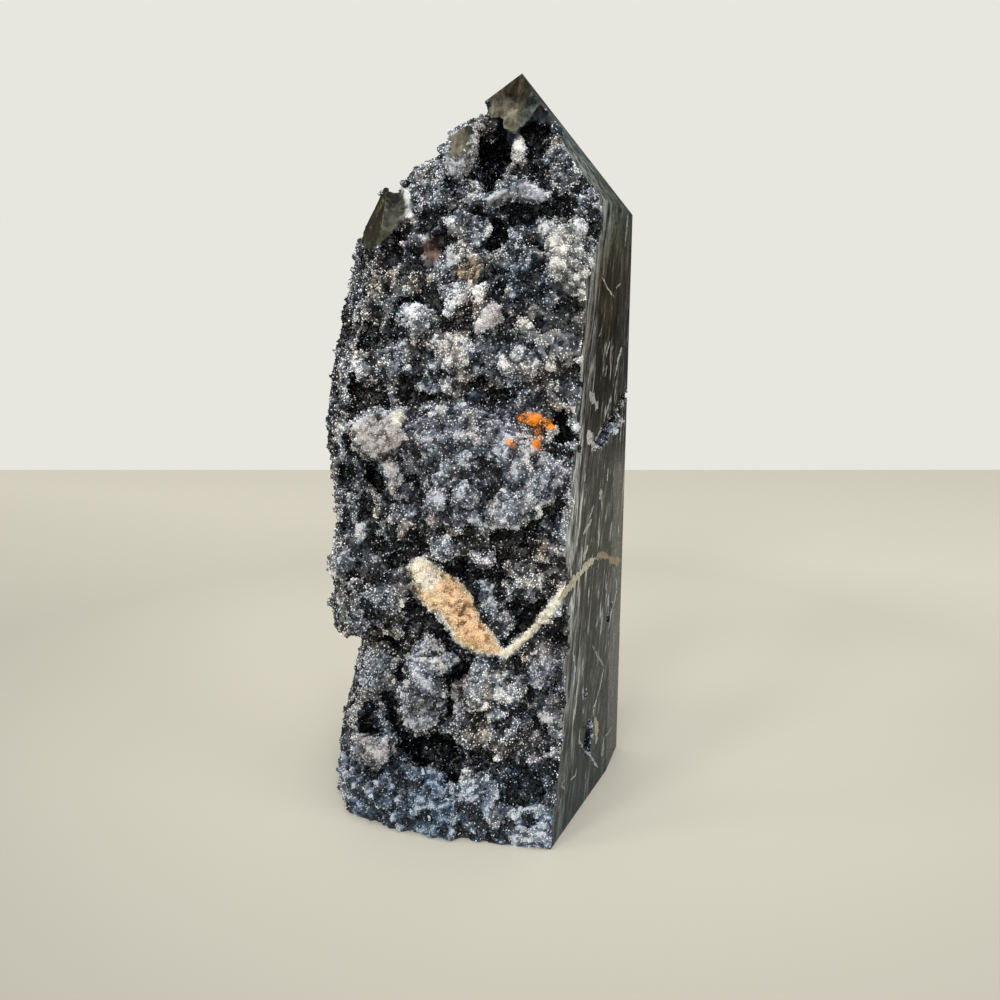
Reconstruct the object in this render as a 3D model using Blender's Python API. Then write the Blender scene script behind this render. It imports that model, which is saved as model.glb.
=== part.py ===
"""A cut and polished sphalerite point with one natural, crystal-lined side.

The stone is a single piece. Rough mineral growth (a leaning crust of lumps, ledges, crystals
and cavities) is trimmed by the flat faces that were ground and polished on its back, sides,
foot and tip, so the growth stays open at the front and every other side is a flat face.

Units are metres. +Z is up, -Y is the crystal-lined front, and the origin is the middle of
the flat foot.
"""
import math
import random

import bmesh
import bpy
from mathutils import Euler, Vector, noise

MM = 0.001

# Driving dimensions in millimetres
HEIGHT = 150.0
APEX = (9.55, 8.0, HEIGHT)
ROUGH_WIDTH = 90.0
ROUGH_DEPTH = 80.0
REAR_Y = 26.0
LEFT_X = -28.85
GROWTH_BEHIND_FACES = 5.0
VOXEL = 0.75
KEPT_FACES = 0.052
KEPT_OPENING_FACES = 0.25
SEED = 7

# Ground side faces: a plan point at the foot, the way the face looks (degrees from +X) and its
# inward lean in degrees
SIDE_FACES = {
    "front_foot": ((-1.45, -26.0), -90.0, 0.0),
    "front_left_foot": ((-1.45, -27.0), -104.8, 0.0),
    "front_right_foot": ((25.15, -21.5), -80.4, 0.0),
    "right": ((25.15, -21.5), -6.0, 0.0),
    "right_rear_corner": ((28.85, 13.5), 0.9, 0.0),
    "rear": ((28.65, REAR_Y), 90.0, 0.0),
    "left_rear_corner": ((-20.85, REAR_Y), 131.6, 0.0),
    "left": ((LEFT_X, 17.0), 180.0, 1.6),
    "left_front_corner": ((-19.7, -23.0), -141.0, 2.0),
}

# Ground tip facets: a point on the facet, the way it looks and its slope from level in degrees
TIP_FACETS = {
    "tip_front": (APEX, -90.0, 62.5),
    "tip_right": (APEX, -2.0, 53.0),
    "tip_right_rear": (APEX, 4.0, 52.3),
    "tip_rear": (APEX, 90.0, 55.0),
    "tip_left_rear": (APEX, 118.0, 53.0),
    "tip_left": (APEX, 158.0, 44.6),
    "tip_left_front": ((-14.85, -3.0, 128.0), -141.0, 72.0),
}

# Depth of the growth at its right edge, as height and y, from foot to tip
FRONT_PROFILE = (
    (-6.0, -21.6), (2.0, -21.4), (10.0, -18.4), (18.0, -15.4), (26.0, -13.0), (34.0, -11.4),
    (42.0, -11.8), (52.0, -12.8), (62.0, -11.8), (76.0, -10.8), (88.0, -9.4), (96.0, -7.4),
    (108.0, -5.6), (116.0, -1.4), (124.0, 3.4), (134.0, 8.0), (142.0, 9.8), (160.0, 14.0),
)
FRONT_HALF_WIDTH = 26.0
CORE_MARGIN = 9.0
CORE_COLUMNS = 36
CORE_ROWS = 80
FRONT_BULGE = 1.6
FRONT_SWELL = 1.2
FRONT_SWELL_LENGTH = 11.0
RELIEF = 1.5

# The growth turns back at its left edge, past this x, by this much y for each x, inside the
# ground corner by the inset
LEFT_TURN = (-18.45, -21.5)
LEFT_TURN_SLOPE = 1.236
LEFT_TURN_INSET = 3.0

# How many corners each kind of crystal lump has before its hull is taken
MASS_CORNERS = 22
LUMP_CORNERS = 16
CRYSTAL_CORNERS = 9
BAR_CORNERS = 44
CAVITY_CORNERS = 26
VUG_CORNERS = 18
SEAM_CORNERS = 14

# A mass reaches at least this share of its smaller half size into the growth
MASS_ROOT = 0.8

# Masses of the growth: x, z, half width, half height, how far each stands proud, in-plane turn
MASSES = {
    "tip_block": (9.2, 145.0, 6.8, 9.6, 6.4, 0),
    "tip_left_lump": (-1.2, 137.0, 5.4, 4.6, 5.2, -25),
    "tip_left_shoulder": (-8.5, 129.5, 6.6, 6.2, 4.6, -20),
    "tip_pale_lump": (10.8, 134.2, 1.9, 3.4, 3.6, 0),
    "tip_right_lump": (20.6, 132.4, 5.6, 7.2, 7.4, 15),
    "right_sparkling_lump": (24.0, 124.5, 4.4, 6.4, 3.2, 10),
    "upper_left_mass": (-8.0, 121.5, 6.2, 5.2, 3.2, 0),
    "ground_corner_mass": (-18.6, 119.5, 7.0, 9.6, 7.5, 25),
    "left_shoulder_mass": (-20.6, 105.5, 6.8, 9.5, 4.6, 10),
    "upper_middle_mass": (-0.6, 121.5, 4.4, 3.6, 3.0, 10),
    "brown_shelf": (-1.4, 113.4, 5.4, 2.4, 1.8, -35),
    "pale_cluster_left": (-6.6, 102.6, 3.5, 4.0, 3.4, 0),
    "pale_cluster_middle": (1.8, 105.2, 2.8, 2.1, 3.2, 0),
    "pink_crystal": (8.0, 105.4, 2.3, 4.3, 4.2, -8),
    "grey_mass_upper": (2.2, 97.5, 5.6, 4.8, 3.0, 0),
    "dark_block": (13.6, 112.6, 4.6, 7.0, 2.2, 12),
    "cream_mass": (22.0, 112.6, 4.4, 9.6, 3.2, -6),
    "dark_slab": (21.4, 98.0, 5.0, 4.6, 3.4, 0),
    "small_diamond": (16.2, 102.6, 1.4, 2.0, 3.6, 0),
    "small_mass_right": (13.6, 95.4, 3.6, 3.4, 2.4, 0),
    "left_edge_mass": (-23.0, 93.0, 4.6, 8.0, 4.4, 0),
    "left_upper_belly": (-13.0, 94.0, 6.0, 5.2, 2.6, 0),
    "belly_top": (3.4, 80.6, 13.4, 6.4, 4.6, -2),
    "belly_middle": (6.2, 70.4, 10.6, 9.0, 5.2, 0),
    "belly_right": (18.2, 73.0, 6.8, 10.0, 4.0, 0),
    "belly_low": (5.0, 60.8, 9.4, 5.0, 3.4, 8),
    "cream_knob": (-9.4, 85.4, 2.3, 2.2, 4.6, 0),
    "tan_lump": (-13.8, 80.4, 5.0, 4.4, 5.2, 12),
    "tan_tail": (-9.2, 73.6, 2.4, 5.4, 4.4, -22),
    "left_column": (-22.8, 79.0, 4.2, 7.8, 3.6, 0),
    "left_waist": (-21.6, 66.2, 4.6, 5.6, 2.4, 0),
    "lower_belly_left": (-9.4, 62.8, 6.0, 5.2, 2.8, 0),
    "left_bump": (-22.6, 55.0, 4.8, 4.4, 4.8, 0),
    "right_edge_mass": (23.2, 62.0, 4.4, 7.4, 2.4, 0),
    "right_low_mass": (18.4, 54.2, 5.2, 4.4, 3.6, 0),
    "ledge_body": (-19.6, 46.0, 9.4, 7.2, 6.8, 0),
    "ledge_inner": (-11.6, 46.6, 5.2, 5.0, 4.0, 0),
    "beside_bar": (11.6, 47.2, 3.6, 5.4, 2.8, -20),
    "grey_lobe": (-3.6, 30.4, 4.5, 9.2, 5.6, 4),
    "lobe_head": (0.2, 36.6, 4.6, 3.4, 3.8, 30),
    "left_low_mass": (-13.6, 31.0, 5.4, 4.6, 2.8, 0),
    "right_broad_mass": (11.8, 31.8, 7.4, 7.4, 4.2, 0),
    "right_broad_mass_low": (13.2, 22.2, 7.6, 6.2, 3.6, 0),
    "right_mass_by_vein": (21.4, 37.6, 5.0, 6.0, 2.8, 0),
    "right_strip": (22.4, 27.4, 3.8, 5.0, 2.0, 0),
    "tan_foot_lump": (-14.4, 14.8, 5.4, 2.9, 4.4, -8),
    "pale_foot_lobe": (-10.0, 18.6, 2.4, 2.1, 3.4, 0),
    "foot_left": (-14.0, 5.2, 9.4, 5.4, 2.4, -8),
    "foot_corner": (-22.6, 6.4, 5.0, 6.0, 2.0, 0),
    "foot_middle": (-1.0, 3.4, 8.4, 5.2, 2.2, -4),
    "foot_centre_lump": (8.8, 9.4, 5.6, 6.4, 2.8, 8),
    "foot_right": (20.0, 1.6, 6.4, 3.0, 1.4, 0),
}

# Cavities in the growth: x, z, half width, half height, depth below the surface, in-plane turn
CAVITIES = {
    "tip_left_hole": (5.2, 135.4, 3.0, 7.4, 6.0, 8),
    "tip_right_hole": (14.0, 136.2, 1.9, 3.8, 5.0, -20),
    "under_plate": (11.0, 122.6, 5.6, 2.6, 3.0, 6),
    "upper_hole": (7.6, 118.6, 1.7, 4.2, 5.5, -10),
    "upper_left_hole": (-8.0, 116.6, 3.4, 1.3, 3.6, 0),
    "brown_hollow": (0.6, 111.2, 2.4, 1.6, 3.0, -30),
    "hole_by_cluster": (-7.4, 107.4, 2.2, 1.6, 4.2, 0),
    "slot_by_crystal": (5.8, 110.2, 1.1, 2.0, 3.6, 0),
    "crevice_left": (-4.0, 88.6, 7.6, 1.5, 5.0, -5),
    "crevice_right": (9.0, 89.4, 7.4, 1.4, 4.6, 2),
    "hole_by_rust": (24.0, 84.0, 2.2, 3.6, 6.5, -12),
    "hole_left": (-14.6, 71.6, 2.7, 4.6, 6.5, 12),
    "crease_left": (-18.8, 84.0, 1.0, 5.0, 3.2, -18),
    "hole_under_belly": (-10.4, 55.2, 4.6, 2.0, 3.6, -10),
    "hole_above_bar": (8.0, 54.6, 3.4, 1.8, 3.0, 10),
    "hole_by_vein": (20.6, 46.0, 1.6, 4.0, 5.0, -42),
    "hole_under_ledge": (-12.6, 37.2, 5.6, 2.2, 5.6, 6),
    "slot_by_lobe": (3.4, 30.6, 1.5, 5.8, 5.5, -6),
    "hole_under_bar": (2.6, 38.2, 3.6, 1.2, 3.6, -18),
    "foot_hole_left": (-16.0, 21.2, 2.9, 2.6, 6.0, 10),
    "hole_left_of_lobe": (-9.4, 24.8, 1.8, 3.4, 4.2, 0),
    "foot_hole_big": (-1.2, 15.6, 6.2, 3.6, 9.0, -18),
    "foot_hole_big_right": (3.0, 13.6, 2.4, 5.0, 8.0, 12),
    "foot_hole_right": (19.6, 11.6, 5.4, 4.4, 3.2, 0),
    "foot_hole_upper_right": (22.4, 19.8, 3.6, 1.6, 2.8, -8),
    "ring_hole": (20.6, 4.6, 2.0, 2.2, 2.2, 0),
    "notch_by_tip": (2.2, 143.0, 1.4, 1.6, 5.0, 0),
    "notch_by_left_lump": (-6.4, 136.6, 1.2, 1.5, 4.6, 0),
    "notch_by_shoulder": (-13.0, 133.4, 1.1, 1.3, 4.0, 0),
}
CAVITY_REACH = 7.0

# Hollows of the stone's left edge: height, half height and how far in they go from the edge
EDGE_HOLLOWS = (
    (102.6, 3.6, 2.0),
    (73.4, 3.8, 1.6),
    (63.6, 8.8, 3.2),
    (46.4, 2.6, 2.4),
    (8.0, 5.0, 1.2),
)
EDGE_HOLLOW_LENGTH = 11.0
EDGE_HOLLOW_OUTSIDE = 2.4

# Break of the left front corner under the ledge: the way it looks, and a point on it at its top
# and at its bottom
EDGE_BREAK_AZIMUTH = -156.0
EDGE_BREAK_ENDS = ((-18.2, -10.0, 36.4), (-27.4, -9.5, 6.0))
EDGE_BREAK_HALF_WIDTH = 28.0
EDGE_BREAK_DEPTH = 16.0

# Iron-stained bar: its two ends, half width and how far it stands proud
BAR_ENDS = ((-6.0, 58.2), (13.4, 37.2))
BAR_HALF_WIDTH = 4.6
BAR_PROUD = 6.6

# Vein plate: points along its free edge, thickness and how far it stands proud
VEIN_EDGE = ((15.2, 39.0), (18.6, 42.0), (22.6, 48.4), (27.6, 55.4))
VEIN_THICK = 1.5
VEIN_PROUD = 4.2
VEIN_ROOT = 8.0

# Overhanging plate near the tip: its ends, thickness and how far it stands proud
TIP_PLATE = ((1.6, 125.2), (9.4, 129.0), (17.2, 126.6))
TIP_PLATE_THICK = 2.6
TIP_PLATE_PROUD = 4.6
TIP_PLATE_ROOT = 9.0

# Small crystals fused to the growth: count, and smallest and largest radius
LUMP_COUNT = 130
LUMP_RADII = (1.8, 3.0)
CRYSTAL_COUNT = 560
CRYSTAL_RADII = (1.1, 1.9)

# Openings that the polished right face cuts: y, z, half width, half height and depth
FACE_VUGS = (
    (12.6, 38.6, 1.3, 6.8, 2.4),
    (3.0, 34.6, 0.9, 2.2, 1.6),
    (-1.4, 25.8, 1.5, 3.0, 2.0),
    (1.2, 14.0, 2.8, 5.6, 4.2),
    (10.2, 4.6, 0.9, 2.2, 1.6),
    (-4.6, 48.2, 0.9, 1.6, 1.4),
)

# Crystal-filled seam across the right face: its ends in y and z, half width and depth
SEAM = ((-0.5, 78.4), (9.0, 81.6), (27.6, 86.4))
SEAM_HALF_WIDTH = 2.1
SEAM_DEPTH = 1.7
SEAM_LUMP_LENGTH = 2.6
SEAM_STEPS = 5

# Small pits left in the polished rear and left faces: x or y, z, half width, half height, depth
REAR_VUGS = (
    (-9.0, 96.0, 2.6, 4.6, 2.4),
    (12.4, 61.0, 1.6, 3.6, 1.8),
    (-3.0, 27.5, 3.2, 2.0, 2.2),
)
LEFT_VUGS = (
    (6.0, 74.0, 1.6, 4.2, 2.0),
    (10.5, 33.0, 2.4, 2.8, 2.4),
)

STONE_COLOUR = (0.062, 0.058, 0.052)
STONE_ROUGHNESS = 0.32


def clear_scene():
    """Remove whatever the scene starts with."""
    for item in list(bpy.data.objects):
        bpy.data.objects.remove(item, do_unlink=True)


def new_object(name, bm, cutter=False):
    """Turn a bmesh, drawn in millimetres, into an object in metres."""
    bmesh.ops.recalc_face_normals(bm, faces=bm.faces)
    bmesh.ops.scale(bm, vec=(MM, MM, MM), verts=bm.verts)
    mesh = bpy.data.meshes.new(name)
    bm.to_mesh(mesh)
    bm.free()
    item = bpy.data.objects.new(name, mesh)
    bpy.context.collection.objects.link(item)
    if cutter:
        item.hide_render = True
        item.display_type = "WIRE"
    return item


def stone_material():
    """Dark, polished sphalerite."""
    material = bpy.data.materials.new("polished_sphalerite")
    material.use_nodes = True
    shader = material.node_tree.nodes["Principled BSDF"]
    shader.inputs["Base Color"].default_value = (*STONE_COLOUR, 1.0)
    shader.inputs["Roughness"].default_value = STONE_ROUGHNESS
    shader.inputs["Metallic"].default_value = 0.0
    return material


def along(points, value):
    """Straight-line value between listed points."""
    for (start, low), (end, high) in zip(points, points[1:]):
        if value <= end:
            return low + (high - low) * max(0.0, value - start) / (end - start)
    return points[-1][1]


def front_depth(x, z):
    """y of the growth's general surface: it leans back, bulges in the middle and swells."""
    bulge = FRONT_BULGE * max(0.0, 1.0 - (x / FRONT_HALF_WIDTH) ** 2)
    swell = FRONT_SWELL * noise.noise(Vector((x, 0.0, z)) / FRONT_SWELL_LENGTH)
    corner = LEFT_TURN[1] + LEFT_TURN_SLOPE * (LEFT_TURN[0] - x) + LEFT_TURN_INSET
    return max(along(FRONT_PROFILE, z) - bulge, corner) + swell


def outward(azimuth, slope):
    """Unit normal of a face that looks towards azimuth; slope 90 is upright, 0 is level."""
    flat = math.sin(math.radians(slope))
    angle = math.radians(azimuth)
    return Vector((math.cos(angle) * flat, math.sin(angle) * flat, math.cos(math.radians(slope))))


def side_line(name, z):
    """A ground side face at height z, as numbers a, b, c with a x + b y = c."""
    (x, y), azimuth, lean = SIDE_FACES[name]
    angle = math.radians(azimuth)
    a, b = math.cos(angle), math.sin(angle)
    return a, b, a * x + b * y - z * math.tan(math.radians(lean))


def on_side(name, y, z):
    """x of a ground side face at this y and height."""
    a, b, c = side_line(name, z)
    return (c - b * y) / a


def left_edge(z):
    """x and y of the edge between the left face and the left front corner at height z."""
    a, b, c = side_line("left_front_corner", z)
    x = on_side("left", 0.0, z)
    return x, (c - a * x) / b


def grind(bm, point, normal):
    """Cut a flat face on a convex solid and close it."""
    geometry = bm.verts[:] + bm.edges[:] + bm.faces[:]
    cut = bmesh.ops.bisect_plane(bm, geom=geometry, plane_co=point, plane_no=normal, clear_outer=True)
    edges = [part for part in cut["geom_cut"] if isinstance(part, bmesh.types.BMEdge)]
    if edges:
        bmesh.ops.edgenet_fill(bm, edges=edges)


def ground_block():
    """The flat-faced block that the polished faces belong to."""
    bm = bmesh.new()
    bmesh.ops.create_cube(bm, size=1.0)
    bmesh.ops.scale(bm, vec=(ROUGH_WIDTH, ROUGH_DEPTH, HEIGHT), verts=bm.verts)
    bmesh.ops.translate(bm, vec=(0.0, 0.0, HEIGHT / 2.0), verts=bm.verts)
    for (x, y), azimuth, lean in SIDE_FACES.values():
        grind(bm, Vector((x, y, 0.0)), outward(azimuth, 90.0 - lean))
    for point, azimuth, slope in TIP_FACETS.values():
        grind(bm, Vector(point), outward(azimuth, slope))
    return new_object("ground_faces", bm, cutter=True)


def faceted_lump(bm, centre, radii, turn, corners, rng):
    """A closed, flat-faced crystal lump: the hull of points spread over an ellipsoid."""
    spin = Euler((0.0, math.radians(turn), 0.0)).to_matrix()
    start = rng.uniform(0.0, math.tau)
    verts = []
    for index in range(corners):
        level = 1.0 - 2.0 * (index + 0.5) / corners
        ring = math.sqrt(1.0 - level * level)
        angle = start + index * math.pi * (3.0 - math.sqrt(5.0)) + rng.uniform(-0.35, 0.35)
        size = rng.uniform(0.84, 1.12)
        point = Vector((ring * math.cos(angle), level, ring * math.sin(angle))) * size
        point = spin @ Vector(part * radius for part, radius in zip(point, radii))
        verts.append(bm.verts.new(Vector(centre) + point))
    hull = bmesh.ops.convex_hull(bm, input=verts)
    loose = [part for part in hull["geom_interior"] if isinstance(part, bmesh.types.BMVert)]
    bmesh.ops.delete(bm, geom=loose, context="VERTS")


def growth_core(bm):
    """The body behind the crystals, closed, running past every polished face."""
    half_width = FRONT_HALF_WIDTH + CORE_MARGIN
    back = REAR_Y + GROWTH_BEHIND_FACES
    low = -GROWTH_BEHIND_FACES
    high = HEIGHT + GROWTH_BEHIND_FACES
    front = []
    for row in range(CORE_ROWS + 1):
        z = low + (high - low) * row / CORE_ROWS
        line = []
        for column in range(CORE_COLUMNS + 1):
            x = -half_width + 2.0 * half_width * column / CORE_COLUMNS
            line.append(bm.verts.new((x, front_depth(x, z), z)))
        front.append(line)
    faces = []
    for lower, upper in zip(front, front[1:]):
        for a, b, c, d in zip(lower, lower[1:], upper[1:], upper):
            faces.append(bm.faces.new((a, b, c, d)))
    sides = bmesh.ops.extrude_face_region(bm, geom=faces)["geom"]
    for vert in (part for part in sides if isinstance(part, bmesh.types.BMVert)):
        vert.co.y = back


def add_masses(bm, rng):
    """The named masses of the growth, each a faceted lump half sunk in the core."""
    for x, z, half_width, half_height, low_relief, turn in MASSES.values():
        proud = RELIEF * low_relief
        depth = max(proud, MASS_ROOT * min(half_width, half_height))
        y = front_depth(x, z) - proud + depth
        faceted_lump(bm, (x, y, z), (half_width, depth, half_height), turn, MASS_CORNERS, rng)


def add_crystals(bm, rng, count, radii, corners):
    """Small lumps and crystals scattered over the growth."""
    for _ in range(count):
        x = rng.uniform(-30.0, 30.0)
        z = rng.uniform(0.0, HEIGHT)
        radius = rng.uniform(*radii)
        y = front_depth(x, z) - surface_relief(x, z) + rng.uniform(-0.3, 0.4) * radius
        shape = [radius * rng.uniform(0.8, 1.25) for _ in range(3)]
        faceted_lump(bm, (x, y, z), shape, rng.uniform(0.0, 180.0), corners, rng)


def surface_relief(x, z):
    """How far the named masses stand proud of the general surface at a place."""
    relief = 0.0
    for mass_x, mass_z, half_width, half_height, low_relief, turn in MASSES.values():
        proud = RELIEF * low_relief
        angle = math.radians(turn)
        across = (x - mass_x) * math.cos(angle) - (z - mass_z) * math.sin(angle)
        up = (x - mass_x) * math.sin(angle) + (z - mass_z) * math.cos(angle)
        inside = 1.0 - (across / half_width) ** 2 - (up / half_height) ** 2
        if inside > 0.0:
            depth = max(proud, MASS_ROOT * min(half_width, half_height))
            relief = max(relief, proud - depth + depth * math.sqrt(inside))
    return relief


def slab(bm, route, thickness, proud, depth):
    """A plate that stands out of the growth along a route in x and z."""
    for (x_a, z_a), (x_b, z_b) in zip(route, route[1:]):
        run = Vector((x_b - x_a, 0.0, z_b - z_a))
        across = Vector((run.z, 0.0, -run.x)).normalized() * thickness / 2.0
        reach = run.normalized() * thickness / 2.0
        verts = []
        for (x, z), end in (((x_a, z_a), -reach), ((x_b, z_b), reach)):
            y = front_depth(x, z) - proud
            for side in (-across, across):
                for back in (0.0, depth):
                    verts.append(bm.verts.new(Vector((x, y + back, z)) + end + side))
        bmesh.ops.convex_hull(bm, input=verts)


def iron_stained_bar(bm, rng):
    """The long tan crystal bar that lies across the growth."""
    (x_a, z_a), (x_b, z_b) = BAR_ENDS
    half_length = math.hypot(x_b - x_a, z_b - z_a) / 2.0
    turn = math.degrees(math.atan2(z_a - z_b, x_b - x_a))
    x = (x_a + x_b) / 2.0
    z = (z_a + z_b) / 2.0
    y = front_depth(x, z) - BAR_PROUD + BAR_HALF_WIDTH
    radii = (half_length, BAR_HALF_WIDTH, BAR_HALF_WIDTH)
    faceted_lump(bm, (x, y, z), radii, turn, BAR_CORNERS, rng)


def rough_growth():
    """Everything that grew, before grinding."""
    rng = random.Random(SEED)
    bm = bmesh.new()
    growth_core(bm)
    add_masses(bm, rng)
    add_crystals(bm, rng, LUMP_COUNT, LUMP_RADII, LUMP_CORNERS)
    add_crystals(bm, rng, CRYSTAL_COUNT, CRYSTAL_RADII, CRYSTAL_CORNERS)
    slab(bm, VEIN_EDGE, VEIN_THICK, VEIN_PROUD, VEIN_ROOT)
    slab(bm, TIP_PLATE, TIP_PLATE_THICK, TIP_PLATE_PROUD, TIP_PLATE_ROOT)
    iron_stained_bar(bm, rng)
    return new_object("sphalerite_point", bm)


def edge_break(bm):
    """The wedge that has broken off the left front corner under the ledge."""
    out = outward(EDGE_BREAK_AZIMUTH, 90.0)
    along_face = Vector((-out.y, out.x, 0.0)) * EDGE_BREAK_HALF_WIDTH
    verts = []
    for end in EDGE_BREAK_ENDS:
        for reach in (0.0, EDGE_BREAK_DEPTH):
            for side in (-along_face, along_face):
                verts.append(bm.verts.new(Vector(end) + out * reach + side))
    bmesh.ops.convex_hull(bm, input=verts)


def edge_hollows(bm, rng):
    """The hollows that make the left outline wavy."""
    for z, half_height, depth in EDGE_HOLLOWS:
        x, y = left_edge(z)
        radii = (depth + EDGE_HOLLOW_OUTSIDE, EDGE_HOLLOW_LENGTH, half_height)
        faceted_lump(bm, (x - EDGE_HOLLOW_OUTSIDE, y, z), radii, 0.0, CAVITY_CORNERS, rng)


def cavities():
    """The hollows of the growth."""
    rng = random.Random(SEED + 1)
    bm = bmesh.new()
    for x, z, half_width, half_height, depth, turn in CAVITIES.values():
        reach = depth + CAVITY_REACH
        y = front_depth(x, z) + depth - reach
        faceted_lump(bm, (x, y, z), (half_width, reach, half_height), turn, CAVITY_CORNERS, rng)
    edge_hollows(bm, rng)
    edge_break(bm)
    item = new_object("cavities", bm, cutter=True)
    remesh(item)
    return item


def face_openings():
    """Vugs and the seam that the polished right, rear and left faces cut through."""
    rng = random.Random(SEED + 2)
    bm = bmesh.new()
    for y, z, half_width, half_height, depth in FACE_VUGS:
        centre = (on_side("right", y, z), y, z)
        faceted_lump(bm, centre, (depth, half_width, half_height), 0.0, VUG_CORNERS, rng)
    for (y_a, z_a), (y_b, z_b) in zip(SEAM, SEAM[1:]):
        for step in range(SEAM_STEPS + 1):
            y = y_a + (y_b - y_a) * step / SEAM_STEPS
            z = z_a + (z_b - z_a) * step / SEAM_STEPS
            x = min(on_side("right", y, z), on_side("right_rear_corner", y, z))
            radii = (SEAM_DEPTH, SEAM_LUMP_LENGTH, SEAM_HALF_WIDTH * rng.uniform(0.8, 1.2))
            faceted_lump(bm, (x, y, z), radii, 0.0, SEAM_CORNERS, rng)
    for x, z, half_width, half_height, depth in REAR_VUGS:
        faceted_lump(bm, (x, REAR_Y, z), (half_width, depth, half_height), 0.0, VUG_CORNERS, rng)
    for y, z, half_width, half_height, depth in LEFT_VUGS:
        centre = (on_side("left", y, z), y, z)
        faceted_lump(bm, centre, (depth, half_width, half_height), 0.0, VUG_CORNERS, rng)
    item = new_object("face_openings", bm, cutter=True)
    remesh(item)
    decimate(item, KEPT_OPENING_FACES)
    return item


def remesh(item):
    """Fuse overlapping closed shells into one skin."""
    modifier = item.modifiers.new("fuse", "REMESH")
    modifier.mode = "VOXEL"
    modifier.voxel_size = VOXEL * MM
    modifier.adaptivity = 0.0


def decimate(item, ratio):
    """Keep only the faces that carry the form."""
    modifier = item.modifiers.new("facets", "DECIMATE")
    modifier.decimate_type = "COLLAPSE"
    modifier.ratio = ratio


def boolean(item, other, operation):
    """Combine with another closed solid."""
    modifier = item.modifiers.new(other.name, "BOOLEAN")
    modifier.operation = operation
    modifier.solver = "EXACT"
    modifier.object = other


def build():
    """Make the stone."""
    clear_scene()
    stone = rough_growth()
    remesh(stone)
    boolean(stone, cavities(), "DIFFERENCE")
    remesh(stone)
    decimate(stone, KEPT_FACES)
    boolean(stone, ground_block(), "INTERSECT")
    boolean(stone, face_openings(), "DIFFERENCE")
    stone.data.materials.append(stone_material())


build()
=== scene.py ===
import math
from collections import namedtuple

import bmesh
import bpy
import numpy as np
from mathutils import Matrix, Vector, noise


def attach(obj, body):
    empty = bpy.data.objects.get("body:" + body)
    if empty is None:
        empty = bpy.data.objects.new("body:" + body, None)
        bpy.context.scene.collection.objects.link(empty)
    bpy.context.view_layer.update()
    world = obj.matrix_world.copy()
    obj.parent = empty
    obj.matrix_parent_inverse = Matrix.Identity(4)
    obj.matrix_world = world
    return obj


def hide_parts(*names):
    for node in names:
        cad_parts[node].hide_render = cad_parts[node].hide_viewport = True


bl_info = {
    "name": "Sphalerite Point",
    "version": (1, 0, 0),
    "blender": (4, 5, 0),
    "location": "3D View > Sidebar > Stone",
    "description": "Polished dark mineral point with a crystal-lined natural front",
    "category": "Add Mesh",
}

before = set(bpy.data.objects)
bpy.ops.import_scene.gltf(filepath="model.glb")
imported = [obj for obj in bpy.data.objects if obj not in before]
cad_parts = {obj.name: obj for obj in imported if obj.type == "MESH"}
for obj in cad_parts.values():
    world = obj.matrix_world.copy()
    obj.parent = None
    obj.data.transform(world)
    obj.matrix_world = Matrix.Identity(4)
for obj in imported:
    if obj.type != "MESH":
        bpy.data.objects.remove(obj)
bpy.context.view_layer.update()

MM = 0.001
NODE = "sphalerite_point"
BODY_NAME = "stone_body"

# Height and depth of the stone, mm
HEIGHT = 150.0
DEPTH = 52.0

# Ground faces of the stone: a point (mm), the way the face looks (degrees from +X) and its slope
# from level (degrees), as in the solid
APEX = (9.55, 8.0, HEIGHT)
GROUND_FACES = {
    "foot": ((0.0, 0.0, 0.0), 0.0, 180.0),
    "front_foot": ((-1.45, -26.0, 0.0), -90.0, 90.0),
    "front_left_foot": ((-1.45, -27.0, 0.0), -104.8, 90.0),
    "front_right_foot": ((25.15, -21.5, 0.0), -80.4, 90.0),
    "right": ((25.15, -21.5, 0.0), -6.0, 90.0),
    "right_rear_corner": ((28.85, 13.5, 0.0), 0.9, 90.0),
    "rear": ((28.65, 26.0, 0.0), 90.0, 90.0),
    "left_rear_corner": ((-20.85, 26.0, 0.0), 131.6, 90.0),
    "left": ((-28.85, 17.0, 0.0), 180.0, 88.4),
    "left_front_corner": ((-19.7, -23.0, 0.0), -141.0, 88.0),
    "tip_front": (APEX, -90.0, 62.5),
    "tip_right": (APEX, -2.0, 53.0),
    "tip_right_rear": (APEX, 4.0, 52.3),
    "tip_rear": (APEX, 90.0, 55.0),
    "tip_left_rear": (APEX, 118.0, 53.0),
    "tip_left": (APEX, 158.0, 44.6),
    "tip_left_front": ((-14.85, -3.0, 128.0), -141.0, 72.0),
}

# Ground faces that the crust has grown over, and those that are bare only in some of the forms
OVERGROWN = ("front_foot", "front_left_foot", "front_right_foot", "left_front_corner")
BARE_FORMS = {"tip_front": ("tip block", "tip bevel"), "tip_left_front": ("olive patch",)}

# Pockets of crystals in a polished face, and how deep they are, mm
POCKETS = {"right": ("seam pocket", "fissure")}
POCKET_DEPTH = 1.6

# The crust wraps over the front edge of this facet: a height, how far back it ends there and
# how much further for each mm up, the heights over which the tip becomes bare, and how far that
# draws the edge forward (mm)
WRAPPED = "tip_left"
WRAP_EDGE = (125.0, 16.0, 0.33)
BARE_TIP = (137.0, 139.5)
WRAP_DRAWN = 20.0

# Points this near a ground face (mm) belong to it. They are moved out before it is ground back,
# or held back where the crust has grown over it
NEAR_FACE = 0.55
PUSHED_OUT = 1.4
HELD_BACK = 0.9

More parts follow.
